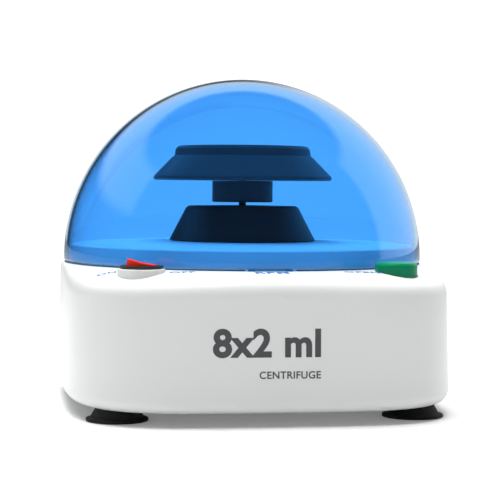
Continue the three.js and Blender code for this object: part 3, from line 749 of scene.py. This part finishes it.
def slot_outline(x, low, high, half, steps=8):
    """A slot along Y with round ends."""
    turn = np.linspace(0, pi, steps + 1)
    top = np.c_[x + half * np.cos(turn), high - half + half * np.sin(turn)]
    return np.concatenate([top, np.c_[x - half * np.cos(turn), low + half - half * np.sin(turn)]])


plate_turn = np.arange(CASING_SIDES // 2) * 4 * pi / CASING_SIDES
plate_reach = outline_radius(plate_turn, LIP + PLATE_GAP)
plate = prism(
    "base_plate_moulding",
    np.c_[plate_reach * np.cos(plate_turn), plate_reach * np.sin(plate_turn) + SPINDLE_Y],
    PLATE_Z, PLATE_Z + PLATE_THICK,
)
tools = [
    prism("vent", slot_outline((i - VENTS // 2) * VENT_STEP, VENT_FROM, VENT_TO, VENT_HALF), 0, 20)
    for i in range(VENTS)
]
post_places = [(side * x, y + SPINDLE_Y) for x, y in POSTS for side in (-1, 1)]
foot_places = [(side * FOOT_X, y) for y in (-FOOT_Y, FOOT_Y) for side in (-1, 1)]
tools += [cutter(1.9, place, 0, 20) for place in post_places]
tools += [cutter(3.3, place, 0, 20) for place in foot_places]
joined(plate, tools, "DIFFERENCE")
bevelled(plate, 0.25, 2)
finished(plate, "base", "white_casing", white_abs, "base_plate")

# ---- Feet -----------------------------------------------------------------------------------
# Four soft black suction feet, moulded in one piece: a thin flange with a shallow cup under it,
# a short cone, and a stalk with a barb that is pulled up through the base plate.

FOOT_RADIUS = 15.5
soft_rubber = moulded_material(
    "soft_rubber", (0.007, 0.0055, 0.005), 0.62, drift=0.5, change=0.25, grain=0.16, size=900
)
foot_profile = eased(
    [[0, 2.4], [6, 2.1], [13.8, 0], [FOOT_RADIUS, 0], [FOOT_RADIUS, 1.4], [13.3, 2.0], [10.9, 6.1],
     [2.9, 6.1], [2.9, 9.9], [4, 9.9], [2.6, 12.4], [0, 12.4]],
    [0, 4, 0.2, 0.3, 0.45, 0.5, 0.5, 0.2, 0.1, 0.3, 0.6, 0],
)
foot_names = ("foot_front_left", "foot_front_right", "foot_rear_left", "foot_rear_right")
for foot_name, place in zip(foot_names, foot_places):
    foot = turned(foot_name + "_rubber", foot_profile, 96, place)
    finished(foot, "base", "rubber", soft_rubber, foot_name)

# ---- Case screws ----------------------------------------------------------------------------
# Four zinc-plated pan-head screws with a cross recess, driven up into the casing's posts.


def metal_group():
    """Worked metal: fine lines round or along the piece as bump, and gloss that varies."""
    tree, given, result = group(
        "worked_metal",
        [
            ("Color", "NodeSocketColor", (0.6, 0.6, 0.6, 1)),
            ("Roughness", "NodeSocketFloat", 0.3),
            ("Wear", "NodeSocketFloat", 0.2),
        ],
        SKIN,
    )
    place = tree.nodes.new("ShaderNodeTexCoord").outputs["Object"]
    stain = noise(tree, place, 220, 5)
    wear = given.outputs["Wear"]
    shade = tree.nodes.new("ShaderNodeMix")
    shade.data_type = "RGBA"
    shade.blend_type = "MULTIPLY"
    tree.links.new(wear, shade.inputs["Factor"])
    tree.links.new(given.outputs["Color"], shade.inputs["A"])
    tree.links.new(stain.outputs["Color"], shade.inputs["B"])
    tree.links.new(shade.outputs["Result"], result.inputs["Color"])
    rough = maths(tree, "MULTIPLY_ADD", stain.outputs["Fac"], wear, given.outputs["Roughness"])
    tree.links.new(rough, result.inputs["Roughness"])
    stretch = tree.nodes.new("ShaderNodeMapping")
    stretch.inputs["Scale"].default_value = (1, 1, 0.06)
    tree.links.new(place, stretch.inputs["Vector"])
    lines = noise(tree, stretch.outputs["Vector"], 2500, 1)
    bumped(tree, lines.outputs["Fac"], 0.12, 0.0001, result)
    return tree


worked_metal = metal_group()


def metal_material(name, colour, roughness, wear=0.2):
    """A bare or plated metal."""
    material, tree, shader = new_material(name, colour, roughness, Metallic=1.0)
    textured(
        tree, shader, worked_metal, SKIN_LINKS,
        Color=(*colour, 1), Roughness=roughness, Wear=wear,
    )
    return material


plated_steel = metal_material("plated_steel", (0.62, 0.63, 0.64), 0.26)
SCREW_BOTTOM = 5.2
for i, (x, y) in enumerate(post_places):
    screw = turned(
        f"case_screw_{i + 1}_steel",
        eased([[0, SCREW_BOTTOM], [1.7, SCREW_BOTTOM], [2.9, 5.9], [2.9, 6.6], [1.3, 6.6],
               [1.3, 24.6], [0.5, 25.2], [0, 25.2]], [0, 0.8, 0.35, 0.1, 0.1, 0.1, 0.1, 0]),
        40, (x, y),
    )
    recess = [
        boxed("recess", (x - a, y - b, SCREW_BOTTOM - 1), (x + a, y + b, SCREW_BOTTOM + 0.9))
        for a, b in ((1.6, 0.3), (0.3, 1.6))
    ]
    joined(screw, recess, "DIFFERENCE")
    finished(screw, "base", "steel", plated_steel, f"case_screw_{i + 1}")

# ---- Rotor deck and motor cowl --------------------------------------------------------------
# The deck is a raised white disc under the lid, with a collar that the lid's rim comes down
# round, and a shallow groove near its edge. The cowl is a black cone that covers the motor's top.

COLLAR_RADIUS = 93.6
COWL_BASE = 40.1
MOTOR_HOLE = 20.8
deck_corners = [
    [MOTOR_HOLE, 86], [41.1, 86], [89.9, 84.62], [90.3, 84.2], [91.2, 84.17], [91.6, 84.5],
    [COLLAR_RADIUS, 84.1], [COLLAR_RADIUS, 71.4], [95.9, 71.4], [95.9, 66.4], [91.1, 66.4],
    [91.1, 80.8], [88.4, 82.2], [41.1, 83.5], [MOTOR_HOLE, 83.5],
]
deck_rounds = [0.5, 1, 0.2, 0.15, 0.15, 0.3, 2.3, 0.3, 0.3, 0.3, 0.3, 2, 2, 1, 0.3]
deck = turned("rotor_deck_moulding", eased(deck_corners, deck_rounds, 6, loop=True), 256, loop=True)
LUG_TURNS = [radians(a) for a in (-140, -40, 60, 120)]
LUG_RING = 99.6
lug_places = [(LUG_RING * cos(t), LUG_RING * sin(t) + SPINDLE_Y) for t in LUG_TURNS]
lugs = []
for turn in LUG_TURNS:
    lug = boxed("lug", (92.1, -4.5, 66.4), (103.1, 4.5, 68.3))
    lug.data.transform(Matrix.Translation((0, SPINDLE_Y * MM, 0)) @ Matrix.Rotation(turn, 4, "Z"))
    lugs.append(lug)
joined(deck, lugs, "UNION")
holes = [cutter(1.7, place, 60, 75, 24) for place in lug_places]
holes.append(boxed("catch_gap", (-13, SPINDLE_Y - 100, 60), (13, SPINDLE_Y - 93.8, 75)))
holes.append(boxed("hinge_gap", (-24.8, SPINDLE_Y + 94, 60), (24.8, SPINDLE_Y + 100, 75)))
joined(deck, holes, "DIFFERENCE")
finished(deck, "base", "white_casing", white_abs, "rotor_deck")

satin_black = moulded_material(
    "satin_black", (0.022, 0.023, 0.025), 0.34, drift=0.3, change=0.12, grain=0.1, size=2200
)
cowl_profile = eased(
    [[COWL_BASE, 86.3], [31, 103.9], [29.6, 105], [4, 105.4], [4, 103.2], [28.1, 102.8],
     [37.8, 86.3]],
    [0.3, 0.9, 0.9, 0.5, 0.3, 0.8, 0.2], 6, loop=True,
)
cowl = turned("motor_cowl_moulding", cowl_profile, 192, loop=True)
finished(cowl, "base", "black_plastic", satin_black, "motor_cowl")

# ---- Rotor ----------------------------------------------------------------------------------
# A fixed-angle rotor moulded in black, for eight small tubes at 45 degrees. It stands on a
# round hub on the motor's shaft, and one black screw holds it down.

ROTOR_BOTTOM = 119.0
ROTOR_TOP = 137.6
STEP_Z = 131.7
WELLS = 8
WELL_RADIUS = 5.5
WELL_MOUTH = 19.0
rotor_black = moulded_material(
    "rotor_black", (0.048, 0.06, 0.066), 0.36, drift=0.3, change=0.12, grain=0.08, size=2000
)
head_corners = [
    [2.3, ROTOR_BOTTOM], [48.2, ROTOR_BOTTOM], [48.9, ROTOR_BOTTOM + 0.7], [48.9, 121],
    [38.5, STEP_Z], [37.4, 132.3], [36.9, 136], [35.3, ROTOR_TOP], [9, ROTOR_TOP],
    [9, STEP_Z], [2.3, STEP_Z],
]
head_rounds = [0.2, 0.5, 0.5, 0.6, 0.5, 0.5, 1.2, 1.2, 0.6, 0.3, 0.2]
head = turned("rotor_moulding", eased(head_corners, head_rounds, 6, loop=True), 192, loop=True)
well_profile = [
    [0, -40], [WELL_RADIUS, -40], [WELL_RADIUS, -0.7], [WELL_RADIUS + 2.6, 1.9],
    [WELL_RADIUS + 2.6, 12], [0, 12],
]
wells = []
for i in range(WELLS):
    well = turned("well", well_profile, 48, (0, 0))
    lean = Matrix.Rotation(2 * pi * i / WELLS, 4, "Z")
    lean = Matrix.Translation((0, SPINDLE_Y * MM, 0)) @ lean
    lean = lean @ Matrix.Translation((WELL_MOUTH * MM, 0, ROTOR_TOP * MM))
    lean = lean @ Matrix.Rotation(-pi / 4, 4, "Y")
    well.data.transform(lean)
    wells.append(well)
joined(head, wells, "DIFFERENCE")
finished(head, "rotor", "rotor_black", rotor_black, "rotor_head")

hub_corners = [[2.3, 107.1], [16.6, 107.1], [16.6, 118.7], [2.3, 118.7]]
hub_profile = eased(hub_corners, [0.2, 0.8, 0.4, 0.2], 6, loop=True)
hub = turned("rotor_hub_moulding", hub_profile, 128, loop=True)
finished(hub, "rotor", "rotor_black", rotor_black, "rotor_hub")

SCREW_SLOT = 0.8
knob_corners = [[0, 132.1], [7.4, 132.1], [7.4, 136.4], [6.6, 137.2], [0, 137.2]]
rotor_screw = turned("rotor_screw_moulding", eased(knob_corners, [0, 0.3, 0.5, 0.5, 0]), 96)
slot = boxed("slot", (-6.2, SPINDLE_Y - SCREW_SLOT, 135.6), (6.2, SPINDLE_Y + SCREW_SLOT, 140))
joined(rotor_screw, [slot], "DIFFERENCE")
bevelled(rotor_screw, 0.15, 2)
finished(rotor_screw, "rotor", "rotor_black", satin_black, "rotor_screw")

ground_steel = metal_material("ground_steel", (0.66, 0.67, 0.68), 0.18, wear=0.1)
dark_steel = metal_material("dark_steel", (0.09, 0.09, 0.1), 0.3, wear=0.1)
shaft_profile = eased([[0, 61.7], [2, 61.7], [2, 131.7], [0, 131.7]], [0, 0.3, 0.3, 0])
shaft = turned("motor_shaft_steel", shaft_profile, 48)
finished(shaft, "rotor", "steel", dark_steel, "motor_shaft")

# ---- Power switch ---------------------------------------------------------------------------
# A round snap-in rocker switch: a black housing with a bezel, and a red rocker whose top is a
# hollow curve, so the end that is up stands proud.

bezel = turned(
    "switch_bezel",
    eased([[0, 58], [9.6, 58], [9.6, 75.7], [10.9, 75.7], [10.9, 77], [8.6, 77], [8.3, 76.6],
           [8.3, 66], [0, 66]], [0, 0.4, 0.1, 0.2, 0.6, 0.2, 0.2, 0.3, 0]),
    128, SWITCH_AT,
)
finished(bezel, "base", "black_plastic", satin_black, "switch_housing")

ROCKER_RADIUS = 7.7
ROCKER_LOW = 77.5
ROCKER_RISE = 3.2
ROCKER_HOLLOW = 1.8
ROCKER_EDGE = 0.5
ROCKER_LEAN = 0.14  # the rocker is tipped, so it leans over its low end
ROCKER_LEAN_FROM = 75.0


def rocker_top(x):
    """Height of the rocker's top: a power curve from the low end up to the high end."""
    share = np.clip((ROCKER_RADIUS - x) / (2 * ROCKER_RADIUS), 0, 1)
    return ROCKER_LOW + ROCKER_RISE * share**ROCKER_HOLLOW


def rocker_rows():
    """Rings from the middle of the top, over a small round, down the side and in under it."""
    turn = np.arange(96) * 2 * pi / 96
    rows = []
    for r in np.linspace(0, ROCKER_RADIUS - ROCKER_EDGE, 12):
        rows.append((r, rocker_top(r * np.cos(turn))))
    for tilt in np.linspace(0, pi / 2, 6)[1:]:
        r = ROCKER_RADIUS - ROCKER_EDGE * (1 - sin(tilt))
        rows.append((r, rocker_top(r * np.cos(turn)) - ROCKER_EDGE * (1 - cos(tilt))))
    for r, z in ((ROCKER_RADIUS, 75.6), (ROCKER_RADIUS, 74.4), (5.6, 71), (4.9, 70.4), (0, 70.4)):
        rows.append((r, np.full_like(turn, z)))
    rings = []
    for r, z in rows:
        x = SWITCH_AT[0] + r * np.cos(turn) + ROCKER_LEAN * np.maximum(z - ROCKER_LEAN_FROM, 0)
        rings.append(np.stack([x, SWITCH_AT[1] + r * np.sin(turn), z], -1))
    return np.stack(rings)


red_gloss = moulded_material(
    "red_gloss", (0.88, 0.035, 0.013), 0.16, drift=0.1, change=0.06, grain=0.02, IOR=1.5
)
rocker = surface_piece("rocker_moulding", rocker_rows())
finished(rocker, "rocker", "red_rocker", red_gloss, "rocker")

# ---- Lid button -----------------------------------------------------------------------------
# A round green push button with softly rounded edges. Its sloping stem pushes the latch aside.

green_satin = moulded_material(
    "green_satin", (0.0005, 0.225, 0.1), 0.3, drift=0.06, change=0.08, grain=0.04,
    Specular_IOR_Level=0.25,
)
button_corners = [
    [0, 74], [7.5, 74], [7.5, 60], [10.6, 60], [10.6, 77.2], [9.6, 78.5], [5, 78.85], [0, 78.9],
]
button_profile = eased(button_corners, [0, 0.3, 0.3, 0.3, 1.3, 1.2, 3, 0])
button = turned("open_button_moulding", button_profile, 128, BUTTON_AT)
stem = prism("stem", [(-2.8, 75), (-2.8, 52), (-1.2, 52), (2.8, 56), (2.8, 75)], -2.5, 2.5)
stem_place = Matrix.Translation(Vector((*BUTTON_AT, 0)) * MM)
stem.data.transform(stem_place @ Matrix.Rotation(pi / 2, 4, "X"))
joined(button, [stem], "UNION")
finished(button, "button", "green_button", green_satin, "open_button")


def coil_rows(radius, half, turns, wire, steps=160, sides=12):
    """A wire wound round Z: each point of the helix carries a circle spanned by the direction
    out from the axis and the one square to it and to the wire. The ends close on their middles."""
    turn = np.linspace(0, turns * 2 * pi, steps + 1)[:, None]
    out = np.stack([np.cos(turn), np.sin(turn), 0 * turn], -1)
    rise = half * (2 * turn / turn[-1] - 1)
    middle = radius * out + np.stack([0 * turn, 0 * turn, rise], -1)
    climb = np.full_like(turn, 2 * half / turn[-1, 0])
    along = np.stack([-radius * np.sin(turn), radius * np.cos(turn), climb], -1)
    square = np.cross(along / np.linalg.norm(along, axis=-1, keepdims=True), out)
    spin = np.arange(sides)[None, :, None] * 2 * pi / sides
    rows = middle + wire * (out * np.cos(spin) + square * np.sin(spin))
    ends = [np.broadcast_to(middle[i], (1, sides, 3)) for i in (0, -1)]
    return np.concatenate([ends[0], rows, ends[1]])


SPRING_LOW, SPRING_HIGH = 55.0, 73.3
spring_steel = metal_material("spring_steel", (0.5, 0.5, 0.5), 0.3)
spring_half = (SPRING_HIGH - SPRING_LOW) / 2
spring_middle = Vector((*BUTTON_AT, SPRING_LOW + spring_half)) * MM
button_coil = surface_piece("button_spring_wire", coil_rows(5.4, spring_half, 5, 0.45))
button_coil.data.transform(Matrix.Translation(spring_middle))
finished(button_coil, "base", "steel", spring_steel, "button_spring")
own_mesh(button_coil)

# ---- Hinge ----------------------------------------------------------------------------------
# A white block behind the lid carries two knuckles. A steel pin runs through them and the lid's
# own knuckle, with a coil spring on each side that balances the lid.

HINGE_Y = SPINDLE_Y + 98.7
HINGE_Z = 79.2
KNUCKLE = 3.4
PIN = 1.5


def rod(radius, low, high, sides=64):
    """A plain round tool along the hinge's axis, from low to high X."""
    return laid_along(cutter(radius, (0, 0), low, high, sides), "X", (0, HINGE_Y, HINGE_Z))


block = boxed("hinge_block_moulding", (-24, SPINDLE_Y + 94.9, 66.5), (24, SPINDLE_Y + 100.6, 74))
parts = [boxed("rib", (-18, SPINDLE_Y + 94.9, 58), (18, SPINDLE_Y + 97.4, 70))]
for side in (-1, 1):
    low, high = sorted((side * 14, side * 19))
    parts.append(boxed("ear", (low, HINGE_Y - 3, 70), (high, HINGE_Y + 1.9, HINGE_Z)))
    parts.append(rod(KNUCKLE, low, high))
joined(block, parts, "UNION")
joined(block, [rod(PIN + 0.3, -30, 30, 48)], "DIFFERENCE")
bevelled(block, 0.3, 2)
finished(block, "base", "white_casing", white_abs, "hinge_block")

pin_profile = eased([[0, -19], [PIN, -19], [PIN, 19], [0, 19]], [0, 0.3, 0.3, 0])
pin = turned("hinge_pin_steel", pin_profile, 48, (0, 0))
laid_along(pin, "X", (0, HINGE_Y, HINGE_Z))
finished(pin, "base", "steel", ground_steel, "hinge_pin")

COIL_RADIUS = 2.4
COIL_WIRE = 0.4
COIL_TURNS = 4
COIL_HALF = 2.7
for name, x in (("hinge_spring_left", -10.1), ("hinge_spring_right", 10.1)):
    rows = coil_rows(COIL_RADIUS, COIL_HALF, COIL_TURNS, COIL_WIRE)
    spring = surface_piece(name + "_wire", rows)
    laid_along(spring, "X", (x, HINGE_Y, HINGE_Z))
    finished(spring, "base", "steel", ground_steel, name)

# ---- Lid ------------------------------------------------------------------------------------
# A half-round dome blown from blue-tinted clear plastic, with a rounded rim. A strip bonded
# inside the rim at the front carries the catch, and a leaf on the back carries the hinge. A thin
# dark grey ring on the casing under the rim is painted shade: it stands for the shadow in the gap
# under the rim.

DOME_RADIUS = 97.5
DOME_WALL = 2.1
DOME_Z = 76.6
RIM_Z = 75.2
TINT = (0.245, 0.605, 1.0)


def tinted_clear(name, tint):
    """Clear blue plastic that lets lamp light through to what it covers. The tint is what one
    wall lets pass."""
    material, tree, shader = new_material(name, tint, 0.015, IOR=1.49, Transmission_Weight=1.0)
    textured(
        tree, shader, moulded, SKIN_LINKS[:1], Color=(*tint, 1), Drift=0.03, Grain=0.0
    )
    passing = tree.nodes.new("ShaderNodeBsdfTransparent")
    passing.inputs["Color"].default_value = (*(c**0.5 for c in tint), 1)
    path = tree.nodes.new("ShaderNodeLightPath")
    choice = tree.nodes.new("ShaderNodeMixShader")
    output = tree.nodes["Material Output"]
    tree.links.new(path.outputs["Is Shadow Ray"], choice.inputs["Fac"])
    tree.links.new(shader.outputs["BSDF"], choice.inputs[1])
    tree.links.new(passing.outputs["BSDF"], choice.inputs[2])
    tree.links.new(choice.outputs["Shader"], output.inputs["Surface"])
    return material


tinted = tinted_clear("tinted_clear", TINT)
pale_tinted = tinted_clear("pale_tinted_clear", (0.5, 0.78, 1.0))


def dome_arc(radius, steps=72):
    """Radius and height from the rim up to the top of a half circle."""
    tilt = np.linspace(np.arcsin((RIM_Z - DOME_Z) / radius), pi / 2, steps + 1)
    return np.c_[radius * np.cos(tilt), DOME_Z + radius * np.sin(tilt)]


RIM_ROUND = 0.7
outer = dome_arc(DOME_RADIUS)[1:]
inner = dome_arc(DOME_RADIUS - DOME_WALL)[:0:-1]
outer[-1, 0] = inner[0, 0] = 0
rim = eased(
    [inner[-1], [DOME_RADIUS - DOME_WALL, RIM_Z], [DOME_RADIUS, RIM_Z], outer[0]],
    [0, RIM_ROUND, RIM_ROUND, 0], 6,
)
dome = surface_piece("lid_dome_shell", turned_rows(np.concatenate([inner, rim[1:-1], outer]), 256))
cut_low = (-NOTCH_HALF, 80 + SPINDLE_Y, 60)
cut_high = (NOTCH_HALF, 120 + SPINDLE_Y, HINGE_Z + 4.2)
joined(dome, [boxed("hinge_cut", cut_low, cut_high)], "DIFFERENCE")
finished(dome, "lid", "blue_lid", tinted, "lid_dome")

CATCH_HALF = 11.0
CATCH_Y = SPINDLE_Y - 96.6
# Painted shade: this thin dark grey ring stands for the shadow in the gap under the lid's rim, not
# a seal.
rim_shade_corners = [[95.6, 74.22], [97.2, 74.22], [97.2, 74.9], [95.6, 74.9]]
rim_shade_profile = eased(rim_shade_corners, [0.1, 0.2, 0.2, 0.1], 3, loop=True)
rim_shade_ring = turned("rim_gap_shade", rim_shade_profile, 256, loop=True)
rim_shade_gaps = [
    boxed("rim_shade_front", (-13, SPINDLE_Y - 100, 70), (13, SPINDLE_Y - 90, 80)),
    boxed("rim_shade_back", (-26, SPINDLE_Y + 90, 70), (26, SPINDLE_Y + 100, 80)),
]
joined(rim_shade_ring, rim_shade_gaps, "DIFFERENCE")
# The grey of the painted shade ring under the lid's rim.
gap_shade_grey = moulded_material(
    "gap_shade_grey", (0.1, 0.115, 0.12), 0.6, drift=0.2, change=0.1, grain=0.1, size=1500
)
finished(rim_shade_ring, "base", "rubber", gap_shade_grey)

strip = turned("strip", [[94, 73], [94.7, 73], [94.7, 75.5], [94, 75.5]], 256, loop=True)
strip_part = boxed("strip_part", (-CATCH_HALF, -100, 70), (CATCH_HALF, -80, 82))
joined(strip, [strip_part], "INTERSECT")
hook_high = (CATCH_HALF, CATCH_Y + 2.2, RIM_Z - 0.3)
hook = boxed("lid_catch_moulding", (-CATCH_HALF, CATCH_Y, 57), hook_high)
tongue_notch = boxed("notch", (7.4, CATCH_Y - 1, 61.2), (CATCH_HALF + 1, CATCH_Y + 4, 65))
joined(hook, [tongue_notch], "DIFFERENCE")
joined(hook, [strip], "UNION")
bevelled(hook, 0.2, 2)
finished(hook, "lid", "blue_lid", pale_tinted, "lid_catch")

LEAF_HALF = 6.2
LEAF_IN, LEAF_OUT = DOME_RADIUS + 0.3, DOME_RADIUS + 2.2


def leaf_rows():
    """The leaf as a closed plate on the dome: a grid of X and height, inner face then outer,
    each point at its radius from the dome's centre."""
    x = np.linspace(-13, 13, 25)
    z = np.linspace(5.8, 20, 15)
    sheets = []
    for radius in (LEAF_IN, LEAF_OUT):
        across, up = np.meshgrid(x, z)
        y = np.sqrt(radius**2 - across**2 - up**2)
        sheets.append(np.stack([across, y + SPINDLE_Y, up + DOME_Z], -1))
    return sheets


def plate_piece(name, sheets):
    """Two matching grids as one closed plate, with faces round the four edges."""
    rows, columns, _ = sheets[0].shape
    index = np.arange(rows * columns).reshape(rows, columns)
    quads = [index[:-1, :-1], index[:-1, 1:], index[1:, 1:], index[1:, :-1]]
    quads = np.stack(quads, -1).reshape(-1, 4)
    border = np.concatenate([index[0], index[1:, -1], index[-1, -2::-1], index[-2:0:-1, 0]])
    after = np.roll(border, -1)
    shift = rows * columns
    edge = np.stack([border, after, after + shift, border + shift], -1)
    points = np.concatenate([s.reshape(-1, 3) for s in sheets])
    faces = np.concatenate([quads[:, ::-1], quads + shift, edge])
    return mesh_piece(name, points, faces.tolist())


leaf = plate_piece("hinge_leaf_moulding", leaf_rows())
web_high = (LEAF_HALF, SPINDLE_Y + 100.4, HINGE_Z + 5)
web = boxed("web", (-LEAF_HALF, SPINDLE_Y + 97.8, HINGE_Z), web_high)
joined(leaf, [web, rod(KNUCKLE, -LEAF_HALF, LEAF_HALF)], "UNION")
joined(leaf, [rod(PIN + 0.3, -30, 30, 48)], "DIFFERENCE")
bevelled(leaf, 0.2, 2)
finished(leaf, "lid", "blue_lid", tinted, "hinge_leaf")

# ---- Power inlet ----------------------------------------------------------------------------
# A round low-voltage jack in a pocket in the back wall: a black barrel with a flange and a thin
# centre pin, held by a nut inside.

JACK_DEPTH = 3.2
jack_profile = eased(
    [[0, -14], [5.4, -14], [5.4, 0.4], [7.6, 0.4], [7.6, 1.9], [3, 1.9], [3, -8], [0, -8]],
    [0, 0.3, 0.1, 0.2, 0.5, 0.4, 0.2, 0], 4,
)
jack = on_back(turned("power_inlet_moulding", jack_profile, 96, (0, 0)), JACK_DEPTH)
finished(jack, "base", "black_plastic", satin_black, "power_inlet")
pin_profile = eased([[0, -9], [1, -9], [1, 0.5], [0, 0.5]], [0, 0, 0.4, 0])
jack_pin = on_back(turned("power_inlet_pin", pin_profile, 32, (0, 0)), JACK_DEPTH)
finished(jack_pin, "base", "steel", ground_steel)

# ---- Inside the casing ----------------------------------------------------------------------
# Motor, latch, board and leads: bought-in parts and small mouldings that stay as they are, each
# in its own material.

bare_brass = metal_material("bare_brass", (0.75, 0.55, 0.24), 0.3)
solder_mask = moulded_material(
    "solder_mask", (0.012, 0.085, 0.03), 0.3, drift=0.2, change=0.1, grain=0.1, size=700
)
black_pvc = moulded_material(
    "black_pvc", (0.02, 0.02, 0.02), 0.45, drift=0.3, change=0.1, grain=0.1, size=500
)
for material, names in (
    (plated_steel, ["motor_can", "motor_mount", "latch_bracket", "regulator", "inlet_nut"]),
    (plated_steel, [name for name in nodes if "_screw_" in name and not name.startswith("case_")]),
    (bare_brass, ["switch_terminal_1", "switch_terminal_2"]),
    (solder_mask, ["control_board"]),
    (satin_black, ["motor_end_cap", "lid_switch", "latch_slider", "capacitor"]),
    (black_pvc, ["lead_inlet", "lead_motor_plus", "lead_motor_minus"]),
    (soft_rubber, ["damper_1", "damper_2", "damper_3"]),
    (white_abs, ["button_guide", "board_connector"]),
):
    for name in names:
        nodes[name].data.materials.clear()
        nodes[name].data.materials.append(material)


def plain(bounds):
    """Bounds as plain lists of numbers."""
    return [[float(v) for v in corner] for corner in bounds]
